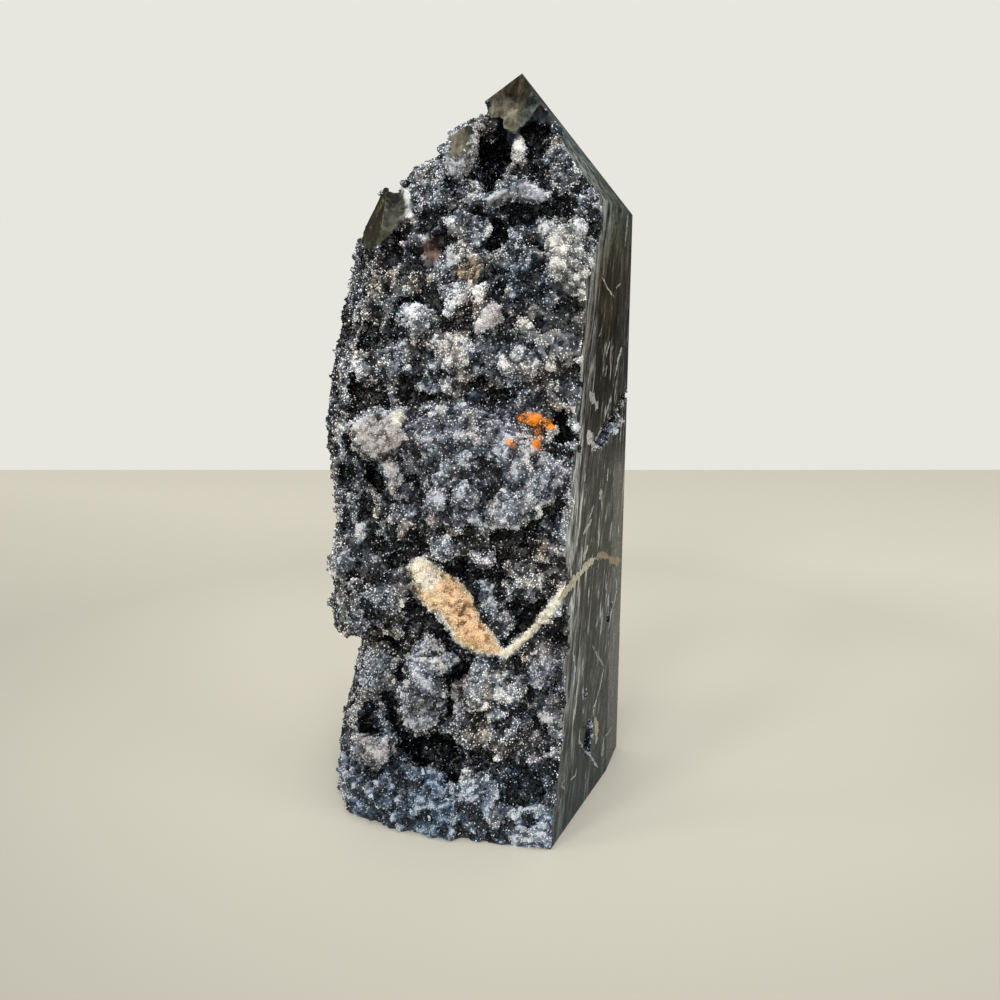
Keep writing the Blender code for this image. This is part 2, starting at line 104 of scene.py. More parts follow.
# Crystal blocks of the crust: size and relief (mm), and how steep their tops are
BLOCKS = ((6.5, 1.1, 0.34), (3.2, 0.9, 0.36))
FINE_BLOCKS = (1.5, 0.46, 0.36)
FINE_SHIFT = 50.0
BLOCK_SHIFT = 9.7

# How far apart the blocks' levels are and how deep the cracks between them, as shares of their
# relief, and how sharp the cracks are
BLOCK_LEVELS = 0.8
CRACK_DEPTH = 0.45
CRACK_SHARPNESS = 5.0

# Noises that bend the blocks' walls and make outlines ragged: size (mm), shifts, reach (mm)
WARP_SIZE = 7.0
WARP_SHIFTS = (3.1, 17.7, 41.3)
WARP_REACH = 1.6
RAGGED_SIZE = 2.0
RAGGED_SHIFT = 5.5
RAGGED_REACH = 0.5

# A finer noise, as size (mm) and shift, adds this share to the ragged edges of the colours
FINE_RAGGED = (0.9, 8.8)
FINE_RAGGED_SHARE = 0.5

# Least and greatest height of the growth over the solid, mm, and its foremost y
RELIEF_LIMITS = (-6.5, 3.4)
FRONT_LIMIT = -26.3

# The forms belong on the front: the y over which they fade out, the height where that starts to
# lean back with the tip, and how much (mm for each mm up). They also belong on the right face,
# past this x
FRONT_FADE = (8.0, 14.0)
SHOULDER = 110.0
SHOULDER_LEAN = 0.2
RIGHT_FACE = (23.0, 24.0)

# A form's soft edge and the width of its dome, mm, how high it starts at its edge, as a share,
# and how far it calms the blocks under it
FORM_EDGE = (-0.35, 0.45)
DOME_WIDTH = 2.6
DOME_START = 0.65
BAR_START = 0.3
FORM_CALM = 0.35

# Camera: its place (mm), how far it is turned to the stone's right and tilted down (degrees),
# and the photograph's width in pixels, which is also its focal length in pixels
CAMERA_PLACE = (71.95, -192.1, 116.4)
CAMERA_TURN = 18.5
CAMERA_TILT = 14.0
PHOTO_WIDTH = 1000.0

# Size of a photograph pixel on the stone's front, mm
PIXEL = 0.205

# Cream vein across the growth: its route in pixels of the photograph, its half width and how
# proud it stands (mm), its tone and how bare it is
VEIN_ROUTE = ((504, 655), (518, 644), (532, 630), (552, 608), (568, 584), (584, 556))
VEIN_HALF_WIDTH = 0.8
VEIN_PROUD = 1.4
VEIN_TONE = 0.84
VEIN_BARE = 0.6

# Edge of the druse on the polished right face, as height and y (mm)
DRUSE_EDGE = (
    (0.0, -21.4), (10.0, -18.0), (17.0, -15.0), (25.0, -13.1), (32.0, -10.0), (41.0, -10.5),
    (50.0, -13.1), (58.0, -11.9), (74.0, -11.0), (89.0, -9.6), (102.0, -6.5), (113.0, -3.4),
    (118.0, 0.8), (124.0, 3.4), (HEIGHT, 15.0),
)

# Veins, streaks and scratches of the right face: routes in pixels of the photograph, half width
# (mm) and colour
FACE_LINES = (
    (((558, 600), (572, 584), (585, 567), (595, 558)), 1.0, "cream"),
    (((595, 558), (602, 555), (609, 557)), 0.7, "tan"),
    (((608, 558), (614, 561), (621, 561)), 0.9, "tan"),
    (((602, 278), (609, 290), (614, 298)), 0.3, "pale"),
    (((616, 288), (621, 284)), 0.25, "grey"),
    (((594, 262), (592, 285), (588, 309), (587, 332)), 0.4, "grey"),
    (((584, 343), (581, 360), (582, 380)), 0.5, "light"),
    (((628, 214), (625, 247)), 0.6, "dull"),
    (((596, 326), (592, 337)), 0.25, "dull"),
    (((602, 327), (599, 337)), 0.25, "dull"),
    (((610, 341), (606, 357)), 0.35, "pale"),
    (((613, 345), (611, 353)), 0.25, "grey"),
    (((622, 347), (618, 360), (615, 376)), 0.55, "pale"),
    (((607, 365), (605, 377)), 0.3, "grey"),
    (((611, 396), (608, 407), (605, 416)), 0.35, "pale"),
    (((589, 394), (594, 400), (598, 408)), 1.1, "light"),
    (((588, 430), (589, 436), (592, 441)), 1.2, "white"),
    (((592, 441), (592, 452)), 0.6, "pale"),
    (((608, 468), (607, 481)), 0.4, "pale"),
    (((601, 488), (600, 500)), 0.8, "grey"),
    (((594, 505), (588, 521)), 0.5, "grey"),
    (((592, 519), (583, 534)), 0.6, "light"),
    (((568, 527), (566, 546)), 0.5, "pale"),
    (((588, 545), (583, 560)), 0.8, "light"),
    (((571, 540), (570, 562), (572, 582)), 0.6, "light"),
    (((606, 572), (605, 590)), 0.3, "dull"),
    (((609, 594), (608, 616)), 0.25, "ice"),
    (((616, 578), (617, 590), (613, 607)), 0.35, "steel"),
    (((612, 607), (610, 620), (608, 632)), 0.5, "steel"),
    (((608, 632), (608, 652)), 0.3, "dark"),
    (((592, 645), (597, 655), (604, 666)), 0.5, "dark"),
    (((594, 646), (595, 651)), 0.6, "black"),
    (((604, 666), (601, 683), (597, 698)), 0.4, "grey"),
    (((597, 698), (594, 706), (593, 717)), 0.55, "light"),
    (((595, 717), (597, 730), (596, 744)), 1.2, "buff"),
    (((573, 652), (575, 668), (573, 690)), 0.55, "steel"),
    (((583, 685), (583, 700)), 0.4, "steel"),
    (((604, 737), (602, 757)), 0.8, "dull"),
    (((612, 727), (604, 738)), 0.3, "dull"),
    (((580, 728), (579, 740), (583, 748)), 0.35, "grey"),
    (((583, 748), (592, 758), (598, 768)), 0.45, "steel"),
    (((577, 768), (575, 776), (570, 781)), 0.3, "grey"),
    (((565, 779), (562, 785), (565, 790)), 0.35, "dull"),
    (((586, 771), (585, 779)), 0.25, "dull"),
    (((562, 795), (558, 811)), 0.3, "dark"),
)

# Colours of the veins and scratches, sRGB
VEIN_COLOURS = {
    "cream": "#CFC7AC",
    "tan": "#928461",
    "buff": "#B3A58C",
    "white": "#D5D3D0",
    "pale": "#C4C6C1",
    "light": "#B6B9B4",
    "grey": "#A7AAA4",
    "dull": "#8F9490",
    "dark": "#7E8888",
    "ice": "#C0CDD5",
    "steel": "#A6B6BE",
    "black": "#050607",
}

# The strips: the length of a step along them, how far they stand out of the face and reach into
# it, and how far their line wanders. A crack up to the hairline's half width (mm) is thinned
VEIN_STEP = 0.35 * MM
VEIN_LIFT = 0.03 * MM
VEIN_WANDER = 0.35 * MM
HAIRLINE = 0.65
HAIRLINE_SHARE = 0.72

# Noises of a strip's line and width: sizes (mm), shift from strip to strip and between the two
LINE_NOISE_SIZE = 1.1
WIDTH_NOISE_SIZE = 0.8
STRIP_SHIFT = 3.3
WIDTH_SHIFT = 50.0

# How fast a strip's ends taper, and to what share of its width
TAPER = 5.0
TAPERED_END = 0.15

# Colours of the growth, sRGB
COLOURS = {
    "tan": "#E4C08A",
    "amber": "#D99C48",
    "brown": "#7A5436",
    "rust": "#EE8A16",
    "cream": "#DDD4BC",
    "white": "#E9E6E0",
    "taupe": "#94877A",
    "blush": "#C9B4AE",
    "grey": "#7C7D7B",
    "olive": "#67643F",
    "blue": "#4A6F90",
    "mauve": "#746369",
    # black is painted shade: it is laid only in the hollows, cavities and cracks of the forms
    "black": "#050506",
}

# Forms of the growth. Each has its lightness (0 to 1), how far it stands proud or, below 0, is
# sunk (mm), its colour, the strength of that colour, how bare of grains it is, and its outline
# in pixels of the photograph. The dark lightness and the black given to the hollows, cavities,
# crevices, gap and cracks, and to the bar's shadows, are painted shade in those recesses
Form = namedtuple("Form", ("tone", "proud", "colour", "strength", "bare", "outline"))
FORMS = {
    "olive patch": Form(
        0.40, 0.0, "olive", 0.95, 1.0,
        ((398, 186), (406, 199), (407, 212), (398, 227), (385, 244), (362, 252), (364, 225),
         (371, 203), (385, 190), (395, 182)),
    ),
    "tip block": Form(
        0.44, 0.0, "grey", 0.5, 1.0,
        ((490, 96), (500, 86), (518, 70), (523, 66), (528, 76), (534, 89), (539, 102), (544, 110),
         (555, 114), (559, 119), (552, 127), (540, 124), (533, 126), (522, 132), (526, 140),
         (522, 148), (512, 147), (504, 140), (496, 127), (490, 116)),
    ),
    "seam pocket": Form(
        0.78, 0.0, "blue", 0.4, 0.0,
        ((593, 441), (599, 429), (611, 423), (619, 414), (630, 408), (630, 418), (620, 425),
         (616, 434), (605, 446), (597, 449)),
    ),
    "fissure": Form(
        0.30, 0.0, "black", 0.5, 0.3,
        ((616, 590), (613, 606), (609, 618), (608, 606), (610, 596)),
    ),
    "tip spur": Form(
        0.78, 1.2, "white", 0.5, 0.4,
        ((511, 145), (521, 136), (527, 141), (529, 151), (515, 166), (509, 162)),
    ),
    "right slope": Form(
        0.44, 0.0, "grey", 0.3, 0.0,
        ((537, 151), (559, 138), (580, 151), (595, 181), (576, 166), (554, 164), (539, 173),
         (526, 179)),
    ),
    "tip hollow left": Form(
        0.28, -4.5, "brown", 0.3, 0.0,
        ((479, 125), (490, 113), (493, 125), (504, 142), (513, 151), (512, 162), (504, 166),
         (500, 177), (493, 190), (485, 192), (479, 181), (476, 164), (478, 147)),
    ),
    "tip hollow right": Form(
        0.15, -3.5, "black", 0.5, 0.0,
        ((524, 132), (539, 124), (552, 128), (548, 136), (541, 140), (539, 153), (532, 162),
         (527, 155), (528, 145), (523, 138)),
    ),
    "top left lump": Form(
        0.68, 2.2, "taupe", 0.55, 0.2,
        ((442, 149), (450, 136), (467, 125), (483, 122), (490, 132), (479, 140), (476, 153),
         (472, 173), (459, 181), (448, 177), (440, 166), (445, 155)),
    ),
    "upper left mass": Form(
        0.54, 0.8, "blue", 0.15, 0.0,
        ((399, 184), (422, 162), (439, 160), (450, 177), (480, 181), (483, 194), (459, 210),
         (428, 212), (422, 231), (407, 220), (410, 201)),
    ),
    "chalky streak": Form(
        0.86, 0.5, "white", 0.8, 0.7,
        ((397, 182), (404, 184), (411, 194), (413, 216), (406, 218), (405, 200)),
    ),
    "right dark druse": Form(
        0.50, 0.0, "blue", 0.2, 0.0,
        ((550, 164), (576, 166), (598, 188), (608, 220), (602, 240), (593, 255), (591, 233),
         (569, 216), (556, 212), (548, 199)),
    ),
    "tip plate": Form(
        0.62, 1.8, "grey", 0.45, 0.6,
        ((482, 199), (504, 188), (524, 181), (537, 186), (548, 192), (545, 203), (528, 199),
         (511, 201), (493, 212), (485, 205)),
    ),
    "under plate": Form(
        0.50, -0.8, "blue", 0.5, 0.3,
        ((509, 207), (528, 201), (548, 207), (539, 225), (524, 233), (515, 231), (504, 218)),
    ),
    "plate hollow": Form(
        0.14, -3.4, "black", 0.5, 0.0,
        ((491, 218), (504, 220), (509, 231), (504, 244), (493, 249), (485, 253), (492, 240)),
    ),
    "upper mid lump": Form(
        0.59, 1.0, "grey", 0.2, 0.0,
        ((444, 218), (472, 212), (489, 216), (493, 231), (480, 246), (459, 242), (448, 233)),
    ),
    "upper crevice": Form(
        0.32, -2.2, "blue", 0.3, 0.0,
        ((418, 212), (432, 208), (462, 208), (459, 213), (440, 216), (430, 232), (418, 234)),
    ),
    "brown window": Form(
        0.84, -0.4, "brown", 0.9, 0.75,
        ((422, 240), (441, 233), (446, 244), (441, 255), (438, 268), (424, 262), (418, 251)),
    ),
    "grey cap": Form(
        0.67, 1.0, "grey", 0.3, 0.0,
        ((445, 246), (461, 240), (476, 246), (472, 255), (459, 264), (448, 266)),
    ),
    "amber patch": Form(
        0.72, 0.6, "tan", 0.7, 0.1,
        ((450, 272), (472, 255), (482, 262), (480, 279), (472, 288), (459, 281)),
    ),
    "cream drape": Form(
        0.72, 0.7, "cream", 0.45, 0.0,
        ((539, 225), (559, 218), (578, 220), (591, 233), (595, 255), (591, 288), (582, 305),
         (565, 290), (550, 272), (545, 251), (537, 240)),
    ),
    "dark middle": Form(
        0.44, -0.7, "blue", 0.4, 0.0,
        ((511, 238), (532, 249), (545, 272), (550, 294), (565, 311), (537, 309), (515, 305),
         (506, 288), (504, 259)),
    ),
    "left crevice": Form(
        0.36, -2.4, "blue", 0.3, 0.0,
        ((398, 300), (412, 298), (428, 303), (414, 306), (402, 310), (392, 330), (400, 345),
         (392, 344), (384, 328)),
    ),
    "pale cluster left": Form(
        0.62, 1.5, "white", 0.2, 0.0,
        ((398, 311), (413, 304), (431, 307), (443, 322), (437, 335), (418, 331), (400, 322)),
    ),
    "pale cluster middle": Form(
        0.70, 1.5, "white", 0.2, 0.0,
        ((437, 285), (459, 283), (485, 286), (489, 298), (472, 304), (450, 306), (439, 297)),
    ),
    "pink lump": Form(
        0.72, 1.8, "blush", 0.65, 0.4,
        ((483, 309), (491, 301), (502, 307), (503, 320), (493, 329), (480, 331), (476, 340),
         (478, 322)),
    ),
    "dark slab": Form(
        0.46, 1.0, "grey", 0.3, 0.5,
        ((541, 314), (559, 309), (583, 312), (584, 333), (578, 360), (559, 353), (541, 340)),
    ),
    "pale diamond": Form(
        0.63, 1.0, "cream", 0.4, 0.5,
        ((535, 301), (546, 313), (537, 324), (525, 316)),
    ),
    "middle field": Form(
        0.66, 0.4, "taupe", 0.2, 0.0,
        ((402, 336), (440, 330), (476, 342), (510, 312), (536, 326), (548, 345), (560, 384),
         (520, 400), (490, 376), (462, 380), (430, 396), (408, 380)),
    ),
    "edge fringe": Form(
        0.70, 0.4, "cream", 0.35, 0.0,
        ((566, 380), (580, 388), (590, 404), (596, 425), (596, 450), (590, 470), (584, 495),
         (576, 520), (568, 550), (557, 550), (560, 520), (566, 495), (568, 470), (575, 446),
         (574, 430), (570, 410)),
    ),
    "mid hollow": Form(
        0.2, -3.0, "black", 0.5, 0.0,
        ((467, 384), (476, 377), (486, 378), (487, 387), (476, 388)),
    ),
    "dark wedge": Form(
        0.44, 0.5, "blue", 0.5, 0.6,
        ((461, 393), (472, 388), (489, 391), (487, 400), (472, 402)),
    ),
    "mid block": Form(
        0.60, 1.6, "mauve", 0.42, 0.0,
        ((353, 427), (363, 416), (385, 409), (459, 404), (515, 409), (537, 442), (556, 461),
         (580, 479), (556, 496), (515, 529), (472, 526), (424, 526), (402, 509), (389, 492),
         (385, 474), (383, 461), (357, 442)),
    ),
    "taupe lump": Form(
        0.66, 1.4, "taupe", 0.7, 0.1,
        ((355, 427), (363, 416), (387, 412), (402, 422), (405, 438), (396, 453), (398, 470),
         (394, 479), (385, 474), (379, 461), (363, 451), (356, 438)),
    ),
    "cream knob": Form(
        0.85, 1.2, "cream", 0.85, 0.0,
        ((390, 412), (402, 408), (408, 418), (402, 426), (392, 423)),
    ),
    "rust head": Form(
        0.78, 0.4, "rust", 1.0, 0.0,
        ((512, 416), (528, 411), (539, 413), (555, 423), (556, 431), (549, 433), (542, 428),
         (539, 440), (530, 427), (519, 424)),
    ),
    "rust tail": Form(
        0.76, 0.3, "rust", 1.0, 0.2,
        ((530, 438), (540, 440), (540, 451), (532, 448)),
    ),
    "rust crumb": Form(
        0.72, 0.3, "rust", 0.9, 0.1,
        ((506, 439), (518, 443), (516, 453), (508, 448)),
    ),
    "rust hollow": Form(
        0.14, -3.6, "brown", 0.5, 0.0,
        ((552, 413), (565, 411), (568, 425), (574, 433), (569, 441), (563, 446), (557, 436),
         (556, 425)),
    ),
    "left hollow": Form(
        0.18, -4.0, "black", 0.5, 0.0,
        ((361, 464), (372, 459), (383, 468), (387, 483), (391, 502), (383, 500), (374, 484),
         (365, 481)),
    ),
    "left pale lump": Form(
        0.69, 1.6, "grey", 0.3, 0.0,
        ((353, 511), (368, 518), (371, 540), (359, 553), (345, 536)),
    ),
    "mid left dark": Form(
        0.44, -1.2, "blue", 0.15, 0.0,
        ((372, 526), (411, 524), (433, 548), (413, 556), (402, 570), (372, 557)),
    ),
    "left lobe": Form(
        0.51, 1.4, "taupe", 0.35, 0.0,
        ((330, 557), (353, 546), (370, 548), (385, 559), (387, 568), (363, 570), (344, 585),
         (330, 574)),
    ),
    "ledge": Form(
        0.42, 0.8, "taupe", 0.2, 0.0,
        ((328, 600), (328, 628), (337, 634), (367, 635), (381, 625), (402, 606), (404, 575),
         (390, 568), (372, 570), (345, 585), (336, 592)),
    ),
    "bar shadow right": Form(
        0.40, -2.4, "black", 0.3, 0.0,
        ((440, 562), (466, 572), (493, 568), (509, 572), (508, 582), (480, 580), (478, 598),
         (486, 617), (499, 634), (494, 634), (480, 618), (472, 594), (460, 580)),
    ),
    "bar shadow left": Form(
        0.46, -1.8, "mauve", 0.3, 0.0,
        ((410, 594), (424, 606), (437, 616), (448, 630), (452, 642), (440, 640), (424, 628),
         (404, 612)),
    ),
    "lump by bar": Form(
        0.57, 1.2, "blue", 0.4, 0.0,
        ((472, 583), (481, 577), (493, 585), (494, 598), (503, 622), (487, 615), (479, 600)),
    ),
    "vein hollow": Form(
        0.38, -3.0, "brown", 0.6, 0.3,
        ((524, 606), (545, 600), (541, 618), (528, 632), (518, 640), (516, 628)),
    ),
    "upper lobe": Form(
        0.65, 1.2, "mauve", 0.35, 0.0,
        ((407, 659), (418, 643), (437, 637), (450, 654), (461, 659), (450, 669), (437, 678),
         (413, 678), (407, 665)),
    ),
    "left mid lump": Form(
        0.47, 1.0, "taupe", 0.25, 0.0,
        ((366, 660), (384, 650), (398, 660), (396, 684), (380, 690), (366, 694), (362, 678)),
    ),
    "hanging lobe": Form(
        0.57, 2.2, "mauve", 0.5, 0.0,
        ((401, 687), (413, 678), (437, 678), (446, 691), (447, 704), (444, 717), (431, 728),
         (415, 731), (407, 724), (403, 704)),
    ),
    "gap": Form(
        0.10, -4.2, "black", 0.6, 0.0,
        ((458, 662), (471, 660), (469, 673), (455, 681), (451, 689), (453, 704), (449, 722),
         (444, 714), (446, 693), (447, 680), (452, 671)),
    ),
    "right mauve wall": Form(
        0.59, 0.0, "mauve", 0.5, 0.0,
        ((525, 655), (560, 640), (576, 650), (574, 700), (560, 740), (530, 742), (516, 725),
         (528, 700), (530, 684)),
    ),
    "lower mid lump": Form(
        0.63, 1.0, "mauve", 0.2, 0.0,
        ((452, 684), (476, 674), (515, 671), (528, 691), (515, 713), (493, 721), (472, 713),
         (459, 721), (452, 704)),
    ),
    "cavity above": Form(
        0.28, -3.6, "black", 0.4, 0.0,
        ((381, 692), (400, 690), (403, 708), (408, 729), (414, 735), (402, 741), (386, 731)),
    ),
    "cavity": Form(
        0.07, -6.0, "black", 0.7, 0.0,
        ((402, 739), (420, 732), (441, 737), (450, 737), (460, 749), (462, 766), (455, 784),
         (447, 782), (441, 769), (428, 764), (407, 760), (395, 750)),
    ),
    "small hollow": Form(
        0.10, -4.0, "black", 0.6, 0.0,
        ((361, 708), (374, 709), (380, 730), (366, 735), (356, 733), (358, 721)),
    ),
    "brown lump": Form(
        0.50, 1.8, "taupe", 0.75, 0.0,
        ((355, 739), (363, 733), (376, 738), (392, 742), (397, 750), (386, 760), (377, 772),
         (366, 766), (355, 753)),
    ),
    "foot panel": Form(
        0.47, 0.5, "blue", 0.75, 0.0,
        ((353, 802), (363, 786), (385, 769), (407, 763), (433, 771), (450, 784), (454, 806),
         (452, 838), (428, 845), (402, 840), (374, 828), (352, 814)),
    ),
    "foot left lump": Form(
        0.52, 0.6, "olive", 0.3, 0.0,
        ((336, 780), (353, 769), (361, 780), (353, 795), (350, 812), (340, 804)),
    ),
    "foot middle lump": Form(
        0.68, 1.2, "blue", 0.3, 0.0,
        ((461, 778), (480, 773), (498, 784), (500, 799), (489, 812), (467, 810), (456, 795)),
    ),
    "blue hollow": Form(
        0.42, -2.0, "blue", 0.5, 0.0,
        ((502, 778), (519, 765), (545, 760), (556, 773), (550, 791), (537, 804), (511, 815),
         (502, 802)),
    ),
    "white crust": Form(
        0.76, 0.6, "blue", 0.2, 0.0,
        ((503, 812), (518, 806), (545, 804), (551, 820), (546, 850), (525, 848), (508, 838)),
    ),
    "ring hollow left": Form(
        0.12, -2.4, "black", 0.6, 0.0,
        ((509, 821), (514, 819), (516, 826), (512, 830), (508, 827)),
    ),
    "ring hollow right": Form(
        0.40, -1.6, "blue", 0.4, 0.0,
        ((522, 812), (532, 811), (536, 820), (531, 829), (523, 827), (519, 819)),
    ),
    "bar": Form(
        0.86, 1.4, "tan", 0.9, 0.0,
        ((407, 574), (412, 560), (426, 557), (437, 565), (450, 574), (463, 581), (472, 592),
         (477, 607), (482, 617), (492, 630), (500, 643), (505, 653), (500, 656), (480, 656),
         (467, 649), (454, 640), (449, 628), (437, 614), (424, 604), (414, 592)),
    ),
    "bar head": Form(
        0.88, 0.0, "cream", 0.6, 0.0,
        ((407, 574), (412, 560), (426, 557), (437, 565), (442, 580), (430, 592), (416, 590)),
    ),
    "bar glow": Form(
        0.70, 0.0, "amber", 0.75, 0.0,
        ((440, 580), (458, 586), (470, 600), (480, 622), (492, 642), (480, 648), (466, 640),
         (456, 624), (446, 606)),
    ),
    "tip bevel": Form(
        0.70, 0.0, "blue", 0.35, 0.9,
        ((530, 76), (545, 90), (575, 126), (605, 164), (640, 206), (640, 216), (612, 212),
         (603, 198), (590, 178), (575, 158), (562, 142), (557, 130), (561, 119), (552, 112),
         (541, 103), (535, 90)),
    ),
}

# How far round an outline its distance is worked out, and the width of a form's rim, mm
OUTLINE_REACH = 4.0
RIM_WIDTH = 0.9

# Tone that the forms are drawn towards, and by how much
MIDDLE_TONE = 0.49
CALM = 0.12

# Tone of the growth between the forms, and the noises that vary it: size (mm), strength, shift
BASE_TONE = 0.50
BROAD_NOISE = (9.0, 0.09, 0.0)
FINE_NOISE = (2.6, 0.07, 4.4)

# Each packed crystal has its own tone: size (mm), strength and shift
CRYSTAL_TONES = ((2.3, 0.34, 0.0), (1.2, 0.20, 7.7))

# Between the forms the growth is faintly blue: least strength, how much more it has in patches,
# and their size (mm) and shift
BLUE_LEAST = 0.05
BLUE_MORE = 0.2
BLUE_PATCHES = (12.0, 31.0)

# Painted shade and highlight: growth that stands over its smoothed surface is painted paler, as
# light falls on ridges, and growth sunk below it darker, as shade falls in hollows: rounds of
# smoothing that its height is taken over, tone for each mm, and the heights it is held between
# (mm). A raised form's rim is painted paler too, a painted highlight
RELIEF_SHADE_AND_HIGHLIGHT = ((8, 0.60, -0.4, 0.3), (90, 0.17, -2.6, 0.6))
RIM_HIGHLIGHT = 0.12

# Blue foot: the heights over which its blue and its pale veins fade out (mm), how much of it is
# tinted blue and how strongly, the size (mm) and shift of the veins' pattern, how thin they are,
# their tone and the ground's
FOOT_BLUE_FADE = (9.0, 18.0)
FOOT_BLUE_SHARE = 0.7
FOOT_BLUE_STRENGTH = 0.62
FOOT_VEIN_FADE = (16.0, 28.0)
FOOT_VEINS = (3.4, 71.0)
FOOT_VEIN_THINNESS = 6.0
FOOT_VEIN_TONE = 0.50
FOOT_GROUND_TONE = -0.13

# Tone past which pale growth that isn't dyed is held back by this share, so that its grains
# stay apart
PALE_TONE = 0.64
PALE_SHARE = 0.5

# How thickly grains and lumps stand: least cover, how much more it is in clusters, and the
# clusters' size (mm) and shift
GRAIN_COVER = (0.55, 0.45)
GRAIN_CLUSTERS = (1.7, 91.0)
LUMP_COVER = (0.1, 0.5)
LUMP_CLUSTERS = (5.0, 61.0)

# Lowest grains over the plane of the foot, so that none sticks out under it
CLEAR_OF_FOOT = 0.35 * MM

# Turns the centre of a packed crystal into its own random numbers
DICE = 37.3


def linear(hex_colour):
    """sRGB hex as linear colour with full alpha."""
    parts = (int(hex_colour[i:i + 2], 16) / 255.0 for i in (1, 3, 5))
    light = tuple(p / 12.92 if p <= 0.04045 else ((p + 0.055) / 1.055) ** 2.4 for p in parts)
    return light + (1.0,)


def greys(*stops):
    """Stops of a colour ramp in shades of grey, from places and levels."""
    return [(place, (level, level, level, 1.0)) for place, level in stops]


def shades(*stops):
    """Stops of a colour ramp from places and sRGB hex colours."""
    return [(place, linear(colour)) for place, colour in stops]


def outward(azimuth, slope):
    """Unit normal of a face that looks towards azimuth; slope 90 is upright, 0 is level."""
    flat = math.sin(math.radians(slope))
    angle = math.radians(azimuth)
    return Vector((math.cos(angle) * flat, math.sin(angle) * flat, math.cos(math.radians(slope))))


def add_node(tree, kind, inputs=None, stops=None, **settings):
    """Add a node with its settings; inputs maps socket names or numbers to values or sockets."""
    node = tree.nodes.new(kind)
    for name, value in settings.items():
        setattr(node, name, value)
    for key, value in (inputs or {}).items():
        if isinstance(value, bpy.types.NodeSocket):
            tree.links.new(value, node.inputs[key])
        else:
            node.inputs[key].default_value = value
    for index, (place, colour) in enumerate(stops or ()):
        ramp = node.color_ramp.elements
        stop = ramp[index] if index < len(ramp) else ramp.new(place)
        stop.position = place
        stop.color = colour
    return node


def new_object(name, mesh):
    """Link a new object with this mesh to the scene."""
    item = bpy.data.objects.new(name, mesh)
    bpy.context.scene.collection.objects.link(item)
    return item


def applied(item):
    """Turn an object with live modifiers into its plain evaluated mesh."""
    bpy.context.view_layer.update()
    graph = bpy.context.evaluated_depsgraph_get()
    mesh = bpy.data.meshes.new_from_object(item.evaluated_get(graph))
    item.modifiers.clear()
    old = item.data
    item.data = mesh
    bpy.data.meshes.remove(old)
    return mesh


def points_of(mesh):
    """Vertex positions as an array, in metres."""
    values = np.empty(len(mesh.vertices) * 3)
    mesh.vertices.foreach_get("co", values)
    return values.reshape(-1, 3)


def normals_of(mesh):
    """Vertex normals as an array."""
    values = np.empty(len(mesh.vertices) * 3)
    mesh.vertex_normals.foreach_get("vector", values)
    return values.reshape(-1, 3)


def noise_at(points, size, shift=0.0):
    """Smooth noise about -1 to 1 at points in mm, with features of this size in mm."""
    turned = points / size + shift
    return np.array([noise.noise(Vector(p)) for p in turned])


def blocks_at(points, size, steepness, shift=0.0):
    """Height about -0.5 to 0.5 of packed blocks with tilted tops, each at its own level, and
    with cracks between them."""
    heights = np.empty(len(points))
    for index, place in enumerate(points / size + shift):
        spot = Vector(place)
        distances, centres = noise.voronoi(spot)
        dice = noise.cell_vector(centres[0] * DICE)
        lean = Vector((dice.y, dice.z, dice.x)) * 2.0 - Vector((1.0, 1.0, 1.0))
        tilt = (spot - centres[0]).dot(lean) * steepness * 2.0
        flat = min(1.0, (distances[1] - distances[0]) * CRACK_SHARPNESS)
        heights[index] = (dice.x - 0.5) * BLOCK_LEVELS + tilt - CRACK_DEPTH * (1.0 - flat)
    return heights


def cell_tones(points, size, shift=0.0):
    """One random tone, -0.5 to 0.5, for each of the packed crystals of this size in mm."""
    centres = (noise.voronoi(Vector(place))[1][0] for place in points / size + shift)
    return np.array([noise.cell_vector(centre * DICE).x - 0.5 for centre in centres])


def smooth_step(low, high, value):
    """0 below low, 1 above high, with a soft change between."""
    share = np.clip((value - low) / (high - low), 0.0, 1.0)
    return share * share * (3.0 - 2.0 * share)


def route_distance(route, x, z):
    """Distance of each point from a route of straight pieces."""
    best = np.full(len(x), np.inf)
    for (start_x, start_z), (end_x, end_z) in zip(route, route[1:]):
        dx, dz = end_x - start_x, end_z - start_z
        share = np.clip(((x - start_x) * dx + (z - start_z) * dz) / (dx * dx + dz * dz), 0.0, 1.0)
        best = np.minimum(best, np.hypot(x - start_x - share * dx, z - start_z - share * dz))
    return best


def height_over_smooth(mesh, rounds):
    """How far each vertex stands over the surface smoothed this many times, in mm."""
    points = points_of(mesh) / MM
    pairs = np.empty(len(mesh.edges) * 2, dtype=np.int64)
    mesh.edges.foreach_get("vertices", pairs)
    pairs = pairs.reshape(-1, 2)
    ends = np.concatenate((pairs[:, 0], pairs[:, 1]))
    others = np.concatenate((pairs[:, 1], pairs[:, 0]))
    count = np.maximum(np.bincount(ends, minlength=len(points)), 1)
    soft = points.copy()
    for _ in range(rounds):
        near = soft[others]
        sums = [np.bincount(ends, weights=near[:, axis], minlength=len(points)) for axis in range(3)]
        soft = np.stack(sums, axis=1) / count[:, None]
    return np.sum((points - soft) * normals_of(mesh), axis=1)


def store(mesh, name, kind, values, domain="POINT"):
    """Write one value for each vertex or face as a named attribute."""
    layer = mesh.attributes.new(name, kind, domain)
    layer.data.foreach_set("color" if kind == "FLOAT_COLOR" else "value", values.ravel())


def closed_copy():
    """A closed copy of the solid, with its loose triangles merged."""
    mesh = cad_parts[NODE].data.copy()
    bm = bmesh.new()
    bm.from_mesh(mesh)
    bmesh.ops.remove_doubles(bm, verts=bm.verts, dist=0.001 * MM)
    bm.to_mesh(mesh)
    bm.free()
    mesh.materials.clear()
    return new_object(BODY_NAME, mesh)


